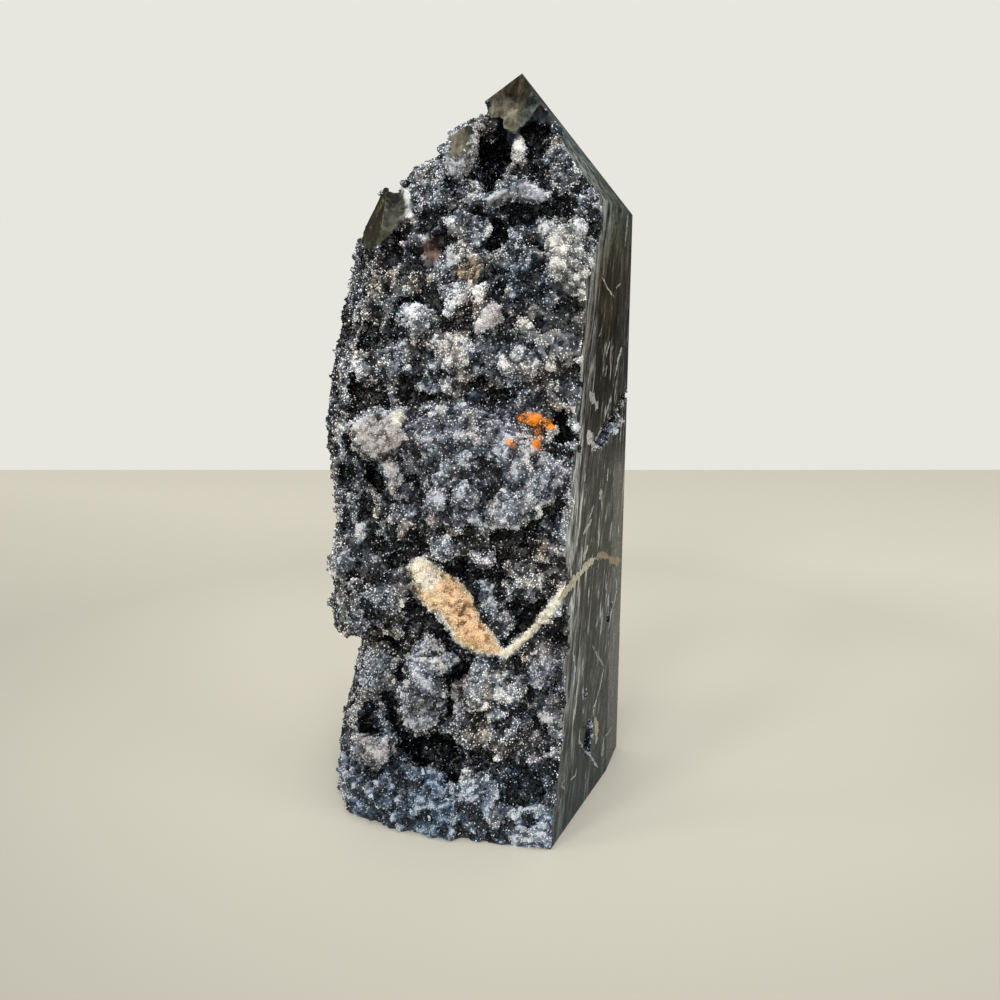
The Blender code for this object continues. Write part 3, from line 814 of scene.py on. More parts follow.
def photo_pixels(points):
    """Where points in mm are seen in the photograph, in its pixels."""
    right, ahead, up = camera_axes()
    away = points - np.array(CAMERA_PLACE)
    scale = PHOTO_WIDTH / (away @ ahead)
    return PHOTO_WIDTH / 2.0 + (away @ right) * scale, PHOTO_WIDTH / 2.0 - (away @ up) * scale


def camera_axes():
    """The camera's right, ahead and up."""
    turn, tilt = math.radians(CAMERA_TURN), math.radians(CAMERA_TILT)
    right = np.array((math.cos(turn), math.sin(turn), 0.0))
    level = math.cos(tilt)
    ahead = np.array((-math.sin(turn) * level, math.cos(turn) * level, -math.sin(tilt)))
    return right, ahead, np.cross(right, ahead)


def on_face(name, u, v):
    """Point of a ground face, in metres, that is seen at a pixel of the photograph."""
    right, ahead, up = camera_axes()
    ray = ahead + (u / PHOTO_WIDTH - 0.5) * right + (0.5 - v / PHOTO_WIDTH) * up
    start, azimuth, slope = GROUND_FACES[name]
    normal = np.array(outward(azimuth, slope))
    reach = (np.array(start) - CAMERA_PLACE) @ normal / (ray @ normal)
    return (CAMERA_PLACE + reach * ray) * MM


def form_depth(name, u, v):
    """How far points lie inside the outline of a form in mm, negative outside it."""
    outline = np.array(FORMS[name].outline, dtype=float)
    reach = OUTLINE_REACH / PIXEL
    low = outline.min(axis=0) - reach
    high = outline.max(axis=0) + reach
    near = np.flatnonzero((u > low[0]) & (u < high[0]) & (v > low[1]) & (v < high[1]))
    depth = np.full(len(u), -OUTLINE_REACH)
    across, down = u[near], v[near]
    inside = np.zeros(len(near), dtype=bool)
    closed = np.vstack((outline, outline[:1]))
    for (start_u, start_v), (end_u, end_v) in zip(closed, closed[1:]):
        if start_v == end_v:
            continue
        crossed = (start_v > down) != (end_v > down)
        border = start_u + (end_u - start_u) * (down - start_v) / (end_v - start_v)
        inside ^= crossed & (across < border)
    far = route_distance(closed, across, down) * PIXEL
    depth[near] = np.where(inside, far, -far)
    return depth


def within(names, u, v, ragged, edge):
    """Share of each point that lies inside any of these forms, over a soft, ragged edge (mm)."""
    depth = np.max([form_depth(name, u, v) for name in names], axis=0)
    return smooth_step(*edge, depth + ragged)


def front_of(points):
    """1 on the front and the right face, where the forms belong, and 0 behind them."""
    leaning = np.maximum(points[:, 2] - SHOULDER, 0.0) * SHOULDER_LEAN
    front = 1.0 - smooth_step(*FRONT_FADE, points[:, 1] - leaning)
    return np.maximum(front, smooth_step(*RIGHT_FACE, points[:, 0]))


def vein_cover(u, v, ragged, soft):
    """Share of each point that the cream vein covers; soft is its outer edge in half widths."""
    away = route_distance(VEIN_ROUTE, u, v) * PIXEL + ragged
    return 1.0 - smooth_step(VEIN_HALF_WIDTH * 0.8, VEIN_HALF_WIDTH * soft, away)


def over_faces(points, u, v, wobble):
    """How far each point belongs to a bare ground face, and the move that takes bare faces out
    and overgrown ones in."""
    polished = np.zeros(len(points))
    move = np.zeros_like(points)
    for name, (start, azimuth, slope) in GROUND_FACES.items():
        normal = np.array(outward(azimuth, slope))
        near = 1.0 - smooth_step(NEAR_FACE, NEAR_FACE * 1.8, np.abs((points - start) @ normal))
        bare = np.ones(len(points))
        if name in OVERGROWN:
            bare[:] = 0.0
        elif name in BARE_FORMS:
            bare = within(BARE_FORMS[name], u, v, 0.4 * wobble, (-0.3, 0.2))
        elif name == WRAPPED:
            height, back, rise = WRAP_EDGE
            behind = points[:, 1] - back - rise * (points[:, 2] - height)
            behind += WRAP_DRAWN * smooth_step(*BARE_TIP, points[:, 2])
            bare = smooth_step(-0.4, 0.4, behind + 1.2 * wobble)
        held_back = (1.0 - bare) * HELD_BACK
        if name in POCKETS:
            pocket = within(POCKETS[name], u, v, 0.3 * wobble, (-0.2, 0.3))
            bare = bare * (1.0 - pocket)
            held_back = pocket * POCKET_DEPTH
        polished = np.maximum(polished, near * bare)
        move += (near * (bare * PUSHED_OUT - held_back))[:, None] * normal
    return polished, move


def shape_growth(mesh):
    """Raise the crust in crystal blocks and forms. Polished faces are moved out, to be ground
    back later, and overgrown ones are held back."""
    points = points_of(mesh) / MM
    normals = normals_of(mesh)
    u, v = photo_pixels(points)
    wobble = noise_at(points, RAGGED_SIZE, RAGGED_SHIFT)
    front = front_of(points)
    polished, move = over_faces(points, u, v, wobble)
    bend = np.stack([noise_at(points, WARP_SIZE, shift) for shift in WARP_SHIFTS], axis=1)
    warped = points + bend * WARP_REACH
    relief = np.zeros(len(points))
    for index, (size, height, steepness) in enumerate(BLOCKS):
        relief += height * blocks_at(warped, size, steepness, index * BLOCK_SHIFT)
    for name, form in FORMS.items():
        depth = form_depth(name, u, v) + RAGGED_REACH * wobble
        mask = smooth_step(*FORM_EDGE, depth) * front
        start = BAR_START if name == "bar" else DOME_START
        dome = start + (1.0 - start) * smooth_step(0.0, DOME_WIDTH, depth)
        relief = relief * (1.0 - FORM_CALM * mask) + form.proud * dome * mask
    relief += VEIN_PROUD * front * vein_cover(u, v, 0.0, 1.4)
    move += (np.clip(relief, *RELIEF_LIMITS) * (1.0 - polished))[:, None] * normals
    points += move
    points[:, 1] = np.maximum(points[:, 1], FRONT_LIMIT)
    mesh.vertices.foreach_set("co", (points * MM).ravel())
    mesh.update()


def remesh(item, voxel):
    """Even out the mesh with voxels of this size."""
    modifier = item.modifiers.new("voxels", "REMESH")
    modifier.mode = "VOXEL"
    modifier.voxel_size = voxel
    modifier.use_smooth_shade = True
    return applied(item)


def raise_fine_blocks(mesh):
    """Break up the crust in small crystal blocks."""
    points = points_of(mesh)
    size, height, steepness = FINE_BLOCKS
    rise = height * blocks_at(points / MM, size, steepness, FINE_SHIFT)
    points += normals_of(mesh) * rise[:, None] * MM
    mesh.vertices.foreach_set("co", points.ravel())
    mesh.update()


def ground_block():
    """The convex block that all the ground and polished faces belong to."""
    bm = bmesh.new()
    bmesh.ops.create_cube(bm, size=0.4)
    for name, (point, azimuth, slope) in GROUND_FACES.items():
        if name in OVERGROWN:
            continue
        geometry = bm.verts[:] + bm.edges[:] + bm.faces[:]
        cut = bmesh.ops.bisect_plane(
            bm,
            geom=geometry,
            plane_co=Vector(point) * MM,
            plane_no=outward(azimuth, slope),
            clear_outer=True,
        )
        edges = [part for part in cut["geom_cut"] if isinstance(part, bmesh.types.BMEdge)]
        if edges:
            bmesh.ops.edgenet_fill(bm, edges=edges)
    bmesh.ops.recalc_face_normals(bm, faces=bm.faces)
    mesh = bpy.data.meshes.new("ground_block")
    bm.to_mesh(mesh)
    bm.free()
    return new_object("ground_block", mesh)


def grind_faces(item, crust, polish):
    """Cut the growth back to its flat faces, which take the polish."""
    block = ground_block()
    for part, slot in ((item, 0), (block, 1)):
        part.data.materials.clear()
        part.data.materials.append(crust)
        part.data.materials.append(polish)
        part.data.polygons.foreach_set("material_index", [slot] * len(part.data.polygons))
    modifier = item.modifiers.new("grind", "BOOLEAN")
    modifier.operation = "INTERSECT"
    modifier.solver = "MANIFOLD"
    modifier.object = block
    mesh = applied(item)
    bpy.data.objects.remove(block)
    bm = bmesh.new()
    bm.from_mesh(mesh)
    inner = [edge for edge in bm.edges if all(face.material_index == 1 for face in edge.link_faces)]
    bmesh.ops.dissolve_limit(bm, angle_limit=math.radians(0.5), verts=[], edges=inner)
    for face in bm.faces:
        face.smooth = face.material_index == 0
    for edge in bm.edges:
        if any(face.material_index == 1 for face in edge.link_faces):
            edge.smooth = False
    bm.to_mesh(mesh)
    bm.free()
    return mesh


def dyed(tint, mask, colour, strength):
    """The stored colours, whose alpha is their strength, with a dye laid over part of them."""
    share = (mask * strength)[:, None]
    mixed = tint[:, :3] * (1.0 - share) + np.array(linear(COLOURS[colour])[:3]) * share
    return np.column_stack((mixed, tint[:, 3] * (1.0 - mask) + mask * strength))


def paint_growth(mesh):
    """Store the growth's colour and lightness, how thickly crystals stand on it, and which of the
    mesh is crust."""
    points = points_of(mesh) / MM
    height = points[:, 2]
    u, v = photo_pixels(points)
    wobble = noise_at(points, RAGGED_SIZE, RAGGED_SHIFT)
    wobble += FINE_RAGGED_SHARE * noise_at(points, *FINE_RAGGED)
    front = front_of(points)
    size, strength, shift = BROAD_NOISE
    light = BASE_TONE + strength * noise_at(points, size, shift)
    rim_highlight = np.zeros(len(points))
    bare = np.zeros(len(points))
    tint = np.empty((len(points), 4))
    tint[:, :3] = linear(COLOURS["blue"])[:3]
    tint[:, 3] = BLUE_LEAST + BLUE_MORE * smooth_step(-0.1, 0.7, noise_at(points, *BLUE_PATCHES))

    # Each form's lightness and colour; the dark ones of the sunk forms are painted shade
    for name, form in FORMS.items():
        depth = form_depth(name, u, v) + RAGGED_REACH * wobble
        mask = smooth_step(-0.3, 0.5, depth) * front
        light = light * (1.0 - mask) + (form.tone + (MIDDLE_TONE - form.tone) * CALM) * mask
        bare = bare * (1.0 - mask) + form.bare * mask
        edge = mask * (1.0 - smooth_step(RIM_WIDTH * 0.4, RIM_WIDTH, depth))
        rim_highlight = rim_highlight * (1.0 - mask) + edge * min(1.0, max(0.0, form.proud))
        tint = dyed(tint, mask, form.colour, form.strength)
        if name == "bar":
            tint = dyed(tint, edge, "cream", 0.6)
    vein = front * vein_cover(u, v, 0.15 * wobble, 1.5)
    light = light * (1.0 - vein) + VEIN_TONE * vein
    bare = np.maximum(bare, VEIN_BARE * vein)
    tint = dyed(tint, vein, "cream", 0.9)

    size, strength, shift = FINE_NOISE
    light += strength * noise_at(points, size, shift)
    for size, strength, shift in CRYSTAL_TONES:
        light += strength * cell_tones(points, size, shift) * (1.0 - bare)
    foot = front * (1.0 - smooth_step(*FOOT_BLUE_FADE, height))
    tint = dyed(tint, FOOT_BLUE_SHARE * foot, "blue", FOOT_BLUE_STRENGTH)
    foot = front * (1.0 - smooth_step(*FOOT_VEIN_FADE, height))
    veins = np.maximum(1.0 - np.abs(noise_at(points, *FOOT_VEINS)) * FOOT_VEIN_THINNESS, 0.0)
    light += foot * (FOOT_VEIN_TONE * veins + FOOT_GROUND_TONE)
    # Painted shade in the hollows and painted highlight on the ridges and on raised forms' rims
    for rounds, strength, low, high in RELIEF_SHADE_AND_HIGHLIGHT:
        light += strength * np.clip(height_over_smooth(mesh, rounds), low, high)
    light += RIM_HIGHLIGHT * rim_highlight
    undyed = np.clip(1.0 - 1.2 * tint[:, 3], 0.0, 1.0)
    light -= PALE_SHARE * np.maximum(light - PALE_TONE, 0.0) * undyed

    grains = smooth_step(-0.2, 0.15, noise_at(points, *GRAIN_CLUSTERS))
    lumps = smooth_step(-0.25, 0.25, noise_at(points, *LUMP_CLUSTERS))
    store(mesh, "shade", "FLOAT", np.clip(light, 0.0, 1.0))
    store(mesh, "tint", "FLOAT_COLOR", np.clip(tint, 0.0, 1.0))
    store(mesh, "grainy", "FLOAT", (1.0 - bare) * (GRAIN_COVER[0] + GRAIN_COVER[1] * grains))
    store(mesh, "lumpy", "FLOAT", (1.0 - bare) * (LUMP_COVER[0] + LUMP_COVER[1] * lumps))
    slots = np.empty(len(mesh.polygons), dtype=np.int32)
    mesh.polygons.foreach_get("material_index", slots)
    store(mesh, "crust", "FLOAT", (slots == 0).astype(np.float32), "FACE")


# Settings of the nodes that mix two colours, or multiply the first by the second
MIX = {"data_type": "RGBA"}
TIMES = {"data_type": "RGBA", "blend_type": "MULTIPLY"}

# The hue of the growth drifts over this size (mm)
HUE_SIZE = 6.0

# How much the crystals differ in tone, on the druse and on the bare crust. A few grains are
# painted near white, a painted highlight for the glints of their faces: the higher the power, the
# fewer, and the gain says how pale
GRAIN_SPREAD = 0.50
# On the bare crust, with no grain number, the spread only darkens it: painted shade between grains
CRUST_SHADE_SPREAD = 0.15
GLINT_POWER = 12.0
GLINT_GAIN = 1.3


def crystal_colour(tree, spread):
    """Colour of the growth from its stored tint and lightness, with a random tone in each grain
    and a hue that drifts between brown, grey, blue and mauve every few millimetres. A few grains
    are painted near white as glints, a painted highlight."""
    shade, tint, grain = (
        add_node(tree, "ShaderNodeAttribute", attribute_name=name).outputs
        for name in ("shade", "tint", "grain")
    )
    tone = add_node(
        tree,
        "ShaderNodeMath",
        {0: grain["Fac"], 1: spread, 2: -0.5 * spread},
        operation="MULTIPLY_ADD",
    )
    # The few grains that this picks are painted near white: a painted highlight for glints
    few = add_node(tree, "ShaderNodeMath", {0: grain["Fac"], 1: GLINT_POWER}, operation="POWER")
    bright = add_node(
        tree,
        "ShaderNodeMath",
        {0: few.outputs[0], 1: GLINT_GAIN * spread, 2: tone.outputs[0]},
        operation="MULTIPLY_ADD",
    )
    level = add_node(
        tree,
        "ShaderNodeMath",
        {0: shade["Fac"], 1: bright.outputs[0]},
        operation="ADD",
    ).outputs[0]
    grey = add_node(
        tree,
        "ShaderNodeValToRGB",
        {0: level},
        shades(
            (0.0, "#010102"),
            (0.26, "#0A0B0E"),
            (0.48, "#34363B"),
            (0.68, "#8E8E8E"),
            (0.82, "#FFFEFB"),
        ),
    )
    place = add_node(tree, "ShaderNodeTexCoord").outputs["Object"]
    drift = add_node(
        tree,
        "ShaderNodeTexNoise",
        {"Vector": place, "Scale": 1.0 / (HUE_SIZE * MM), "Detail": 2.0, "Roughness": 0.5},
    )
    hue = add_node(
        tree,
        "ShaderNodeValToRGB",
        {0: drift.outputs[0]},
        (
            (0.34, (1.28, 0.98, 0.74, 1.0)),
            (0.43, (1.10, 1.0, 0.88, 1.0)),
            (0.50, (1.0, 0.99, 0.97, 1.0)),
            (0.57, (0.82, 0.99, 1.18, 1.0)),
            (0.66, (1.04, 0.92, 1.12, 1.0)),
        ),
    )
    faded = add_node(tree, "ShaderNodeMapRange", {0: level, 1: 0.5, 2: 0.85, 3: 1.0, 4: 0.2})
    drifted = add_node(
        tree,
        "ShaderNodeMix",
        {0: faded.outputs[0], 6: grey.outputs[0], 7: hue.outputs[0]},
        **TIMES,
    )
    strength = add_node(
        tree,
        "ShaderNodeValToRGB",
        {0: level},
        greys((0.0, 0.02), (0.30, 0.12), (0.47, 0.45), (0.72, 0.9), (1.0, 1.3)),
    )
    dye = add_node(
        tree,
        "ShaderNodeMix",
        {0: 1.0, 6: tint["Color"], 7: strength.outputs[0]},
        **TIMES,
    )
    return add_node(
        tree,
        "ShaderNodeMix",
        {0: tint["Alpha"], 6: drifted.outputs[2], 7: dye.outputs[2]},
        **MIX,
    ).outputs[2]


def new_material(name):
    """A material with only its shader and output, and the shader node."""
    material = bpy.data.materials.new(name)
    material.use_nodes = True
    tree = material.node_tree
    return material, tree, tree.nodes["Principled BSDF"]


def quartz_material():
    """Drusy quartz: tiny free-grown quartz crystals over dark zinc ore. Their clean faces flash,
    and the dark ore shows through them, so each grain is a little lighter or darker. The palest
    grains are painted near white as glints, a painted highlight."""
    material, tree, shader = new_material("drusy_quartz")
    tree.links.new(crystal_colour(tree, GRAIN_SPREAD), shader.inputs["Base Color"])
    shader.inputs["Roughness"].default_value = 0.14
    shader.inputs["IOR"].default_value = 1.55
    return material


# Size of the crust's mottle and depth of its bumps, mm
MOTTLE_SIZE = 1.6
MOTTLE_DEPTH = 0.25


def crust_material():
    """Bare crust under the quartz: fine-grained intergrown quartz and zinc ore, dull and dark. It is
    darkened a little more as painted shade in the gaps between the grains.
    """
    material, tree, shader = new_material("crust_rock")
    place = add_node(tree, "ShaderNodeTexCoord").outputs["Object"]
    mottle = add_node(
        tree,
        "ShaderNodeTexNoise",
        {"Vector": place, "Scale": 1.0 / (MOTTLE_SIZE * MM), "Detail": 6.0, "Roughness": 0.65},
    ).outputs[0]
    dark = add_node(tree, "ShaderNodeValToRGB", {0: mottle}, greys((0.3, 0.45), (0.7, 1.1)))
    shown = add_node(
        tree,
        "ShaderNodeMix",
        {0: 1.0, 6: crystal_colour(tree, CRUST_SHADE_SPREAD), 7: dark.outputs[0]},
        **TIMES,
    )
    tree.links.new(shown.outputs[2], shader.inputs["Base Color"])
    bump = add_node(
        tree,
        "ShaderNodeBump",
        {"Height": mottle, "Strength": 0.5, "Distance": MOTTLE_DEPTH * MM},
    )
    tree.links.new(bump.outputs[0], shader.inputs["Normal"])
    shader.inputs["Roughness"].default_value = 0.42
    return material


# Size of the dark specks in the veins, mm
SPECK_SIZE = 0.5


def vein_material():
    """Vein filling: pale calcite and quartz in hairline cracks, ground flush with the face, each
    in its own stored colour and broken by specks of the dark stone."""
    material, tree, shader = new_material("calcite_vein")
    tint = add_node(tree, "ShaderNodeAttribute", attribute_name="tint")
    place = add_node(tree, "ShaderNodeTexCoord").outputs["Object"]
    specks = add_node(
        tree,
        "ShaderNodeTexNoise",
        {"Vector": place, "Scale": 1.0 / (SPECK_SIZE * MM), "Detail": 3.0, "Roughness": 0.7},
    )
    dark = add_node(tree, "ShaderNodeValToRGB", {0: specks.outputs[0]}, greys((0.36, 0.2), (0.54, 0.85)))
    colour = add_node(
        tree,
        "ShaderNodeMix",
        {0: 1.0, 6: tint.outputs["Color"], 7: dark.outputs[0]},
        **TIMES,
    )
    tree.links.new(colour.outputs[2], shader.inputs["Base Color"])
    shader.inputs["Roughness"].default_value = 0.4
    return material


# The polish's fibres lean this far back up the stone (degrees), and their pattern is scaled by
# this along it, which draws them out
FIBRE_LEAN = 13.0
FIBRE_SCALE = 0.17

# Noises of the polish: whether they follow the fibres, size (mm), detail, roughness, distortion
POLISH_NOISES = {
    "fibre": (True, 1.5, 4.0, 0.7, 0.5),
    "band": (True, 2.4, 3.0, 0.6, 0.8),
    "patch": (False, 9.0, 4.0, 0.6, 0.8),
    "speckle": (False, 0.7, 3.0, 0.7, 0.0),
    "mottle": (False, 3.2, 5.0, 0.7, 0.5),
}

# Zones of the polish, each 0 at its start and 1 from its end on: axis, start and end (mm)
POLISH_ZONES = {
    "height": (2, 0.0, HEIGHT),
    "tip": (2, 112.0, 122.0),
    "right of tip": (0, 10.0, 13.0),
    "left facet": (0, -10.0, -12.0),
    "right face": (0, 20.0, 22.0),
}

# Smoky cloud in the front facet of the tip: pixel of the photograph, radius and colour
TIP_CLOUD = (523, 88)
TIP_CLOUD_SIZE = 5.0 * MM
TIP_CLOUD_COLOUR = (0.36, 0.32, 0.24, 1.0)

# Painted reflection: the facet on the right of the tip is made a cooler, lighter grey, for the
# pale light from above that it mirrors
COOL_REFLECTION = (0.98, 1.38, 1.75, 1.0)


def behind_druse(tree, height, place_y, speckle):
    """How far behind the ragged edge of the druse a point of the right face lies, as a share of
    the stone's depth."""
    edge = add_node(tree, "ShaderNodeFloatCurve", {"Value": height})
    spots = [(z / HEIGHT, (y + DEPTH / 2.0) / DEPTH) for z, y in DRUSE_EDGE]
    curve = edge.mapping.curves[0].points
    curve[0].location = spots[0]
    curve[1].location = spots[-1]
    for spot in spots[1:-1]:
        curve.new(*spot)
    edge.mapping.update()
    reach = DEPTH / 2.0 * MM
    depth = add_node(tree, "ShaderNodeMapRange", {0: place_y, 1: -reach, 2: reach})
    behind = add_node(
        tree,
        "ShaderNodeMath",
        {0: depth.outputs[0], 1: edge.outputs[0]},
        operation="SUBTRACT",
    )
    ragged = add_node(tree, "ShaderNodeMath", {0: speckle, 1: 0.16, 2: -0.08}, operation="MULTIPLY_ADD")
    return add_node(
        tree,
        "ShaderNodeMath",
        {0: behind.outputs[0], 1: ragged.outputs[0]},
        operation="ADD",
    ).outputs[0]


def pale_streaks(tree, noises, zones, place_y):
    """Share of the polish that its pale streaks cover: wisps beside the druse of the right face,
    and fibres that are densest halfway up and sparse on the other faces."""
    behind = behind_druse(tree, zones["height"], place_y, noises["speckle"])
    near_druse = add_node(tree, "ShaderNodeMapRange", {0: behind, 1: 0.0, 2: 0.17, 3: 1.0, 4: 0.0})
    elsewhere = add_node(tree, "ShaderNodeMapRange", {0: zones["right face"], 3: 0.35, 4: 1.0})
    ramps = (
        (noises["fibre"], greys((0.43, 0.0), (0.60, 1.0))),
        (zones["height"], greys((0.05, 0.15), (0.25, 0.35), (0.36, 0.6), (0.58, 0.6), (0.68, 0.35))),
        (noises["fibre"], greys((0.55, 0.0), (0.60, 0.5), (0.65, 1.0))),
        (noises["band"], greys((0.45, 0.06), (0.58, 1.0))),
        (
            zones["height"],
            greys((0.06, 0.15), (0.16, 0.6), (0.35, 1.0), (0.58, 0.9), (0.68, 0.35), (0.80, 0.1)),
        ),
    )
    wispy, beside, fibrous, many, middle = (
        add_node(tree, "ShaderNodeValToRGB", {0: value}, stops).outputs[0] for value, stops in ramps
    )
    shares = []
    for share, *others in (
        (near_druse.outputs[0], wispy, zones["right face"], beside),
        (fibrous, many, middle, elsewhere.outputs[0]),
    ):
        for other in others:
            product = add_node(tree, "ShaderNodeMath", {0: share, 1: other}, operation="MULTIPLY")
            share = product.outputs[0]
        shares.append(share)
    return add_node(
        tree,
        "ShaderNodeMath",
        {0: shares[0], 1: shares[1]},
        operation="ADD",
        use_clamp=True,
    ).outputs[0]


def polish_material():
    """Polished sphalerite in fine-banded quartz: cut on a wheel and buffed. It is dark olive-grey
    with short pale fibres that lean up the stone, a glassy gloss and faint pits."""
    material, tree, shader = new_material("polished_sphalerite")
    place = add_node(tree, "ShaderNodeTexCoord").outputs["Object"]
    axes = add_node(tree, "ShaderNodeSeparateXYZ", {0: place}).outputs
    leaning = add_node(
        tree,
        "ShaderNodeVectorRotate",
        {"Vector": place, "Angle": math.radians(FIBRE_LEAN)},
        rotation_type="X_AXIS",
    )
    along = add_node(
        tree,
        "ShaderNodeMapping",
        {"Vector": leaning.outputs[0], "Scale": (1.0, 1.0, FIBRE_SCALE)},
    )
    noises = {}
    for name, (fibrous, size, detail, roughness, distortion) in POLISH_NOISES.items():
        values = {
            "Vector": along.outputs[0] if fibrous else place,
            "Scale": 1.0 / (size * MM),
            "Detail": detail,
            "Roughness": roughness,
            "Distortion": distortion,
        }
        noises[name] = add_node(tree, "ShaderNodeTexNoise", values).outputs[0]
    zones = {}
    for name, (axis, start, end) in POLISH_ZONES.items():
        limits = {0: axes[axis], 1: start * MM, 2: end * MM}
        zones[name] = add_node(tree, "ShaderNodeMapRange", limits).outputs[0]

    # Ground colour up the stone
    stone = add_node(
        tree,
        "ShaderNodeValToRGB",
        {0: zones["height"]},
        shades(
            (0.00, "#1D272A"),
            (0.12, "#282F31"),
            (0.33, "#33352F"),
            (0.50, "#2D2D27"),
            (0.57, "#2C2B23"),
            (0.66, "#2A261B"),
            (0.80, "#383122"),
            (0.90, "#47443A"),
        ),
    ).outputs[0]

    # Fibres, patches and, at the tip, mottle that darken or lighten it
    fibred = add_node(tree, "ShaderNodeMapRange", {0: zones["tip"], 3: 1.0, 4: 0.45})
    for amount, name, stops in (
        (fibred.outputs[0], "fibre", greys((0.38, 0.22), (0.48, 0.75), (0.54, 1.15), (0.62, 2.1))),
        (1.0, "patch", greys((0.36, 0.60), (0.52, 1.0), (0.68, 1.5))),
        (zones["tip"], "mottle", greys((0.36, 0.3), (0.48, 1.0), (0.60, 2.0), (0.70, 3.0))),
    ):
        tone = add_node(tree, "ShaderNodeValToRGB", {0: noises[name]}, stops)
        stone = add_node(tree, "ShaderNodeMix", {0: amount, 6: stone, 7: tone.outputs[0]}, **TIMES).outputs[2]

    # The smoky cloud, and the painted reflection that makes the facet right of the tip cooler and lighter
    centre = tuple(on_face("tip_front", *TIP_CLOUD))
    away = add_node(tree, "ShaderNodeVectorMath", {0: place, 1: centre}, operation="DISTANCE")
    cloud = add_node(
        tree,
        "ShaderNodeMapRange",
        {0: away.outputs["Value"], 1: TIP_CLOUD_SIZE * 0.35, 2: TIP_CLOUD_SIZE, 3: 1.0, 4: 0.0},
    )
    cool_reflection, left = (
        add_node(tree, "ShaderNodeMath", {0: zones[name], 1: zones["tip"]}, operation="MULTIPLY")
        for name in ("right of tip", "left facet")
    )
    for amount, tone in ((cloud.outputs[0], TIP_CLOUD_COLOUR), (cool_reflection.outputs[0], COOL_REFLECTION)):
        stone = add_node(tree, "ShaderNodeMix", {0: amount, 6: stone, 7: tone}, **TIMES).outputs[2]

    # Olive and brown stains of the left facet, and the pale streaks over all
    stain = add_node(
        tree,
        "ShaderNodeValToRGB",
        {0: noises["mottle"]},
        shades((0.40, "#0C0E0A"), (0.50, "#211E15"), (0.58, "#2E2519"), (0.68, "#8F8744")),
    )
    streaks = pale_streaks(tree, noises, zones, axes[1])
    for amount, tone in ((left.outputs[0], stain.outputs[0]), (streaks, linear("#C9CCC8"))):
        stone = add_node(tree, "ShaderNodeMix", {0: amount, 6: stone, 7: tone}, **MIX).outputs[2]

    tree.links.new(stone, shader.inputs["Base Color"])
    bump = add_node(
        tree,
        "ShaderNodeBump",
        {"Height": noises["fibre"], "Strength": 0.3, "Distance": 0.12 * MM},
    )
    tree.links.new(bump.outputs[0], shader.inputs["Normal"])
    gloss = add_node(
        tree,
        "ShaderNodeMapRange",
        {0: noises["speckle"], 1: 0.3, 2: 0.7, 3: 0.16, 4: 0.36},
    )
    tree.links.new(gloss.outputs[0], shader.inputs["Roughness"])
    shader.inputs["IOR"].default_value = 1.45
    shader.inputs["Specular IOR Level"].default_value = 0.06
    return material


def strip_rings(route, half_width, number):
    """Rings of four corners along one vein of the right face, in metres. The vein tapers at its
    ends, wanders a little and changes width."""
    _, azimuth, slope = GROUND_FACES["right"]
    normal = np.array(outward(azimuth, slope))
    stops = np.array([on_face("right", *spot) for spot in route])
    lengths = np.concatenate(([0.0], np.cumsum(np.linalg.norm(np.diff(stops, axis=0), axis=1))))
    steps = max(4, int(lengths[-1] / VEIN_STEP))
    along = np.linspace(0.0, lengths[-1], steps + 1)
    line = np.stack([np.interp(along, lengths, stops[:, axis]) for axis in range(3)], axis=1)
    side = np.cross(normal, np.gradient(line, axis=0))
    side /= np.linalg.norm(side, axis=1)[:, None]
    wander = noise_at(line / MM, LINE_NOISE_SIZE, number * STRIP_SHIFT)
    width = noise_at(line / MM, WIDTH_NOISE_SIZE, WIDTH_SHIFT + number * STRIP_SHIFT)
    share = along / lengths[-1]
    taper = np.minimum(1.0, np.minimum(share, 1.0 - share) * TAPER + TAPERED_END)
    thinned = half_width if half_width > HAIRLINE else half_width * HAIRLINE_SHARE
    half = thinned * MM * taper * np.clip(0.9 + 0.9 * width, 0.25, 1.6)
    centre = line + side * (wander * VEIN_WANDER)[:, None]
    reach = side * half[:, None]
    lift = normal * VEIN_LIFT
    left, right = centre - reach, centre + reach
    return np.stack((left + lift, right + lift, right - lift, left - lift), axis=1)


def vein_strips():
    """Thin closed strips along the routes of the veins and scratches, set in the right face."""
    verts, faces, colours = [], [], []
    for number, (route, half_width, colour) in enumerate(FACE_LINES):
        rings = strip_rings(route, half_width, number)
        first = len(verts)
        last = first + 4 * (len(rings) - 1)
        verts.extend(rings.reshape(-1, 3))
        colours.extend([linear(VEIN_COLOURS[colour])] * (4 * len(rings)))
        for ring in range(first, last, 4):
            for corner in range(4):
                other = (corner + 1) % 4
                faces.append((ring + corner, ring + other, ring + 4 + other, ring + 4 + corner))
        faces.append((first + 3, first + 2, first + 1, first))
        faces.append((last, last + 1, last + 2, last + 3))
    mesh = bpy.data.meshes.new("face_veins")
    mesh.from_pydata(verts, [], faces)
    bm = bmesh.new()
    bm.from_mesh(mesh)
    bmesh.ops.recalc_face_normals(bm, faces=bm.faces)
    bm.to_mesh(mesh)
    bm.free()
    store(mesh, "tint", "FLOAT_COLOR", np.array(colours))
    mesh.materials.append(vein_material())
    return new_object("face_veins", mesh)


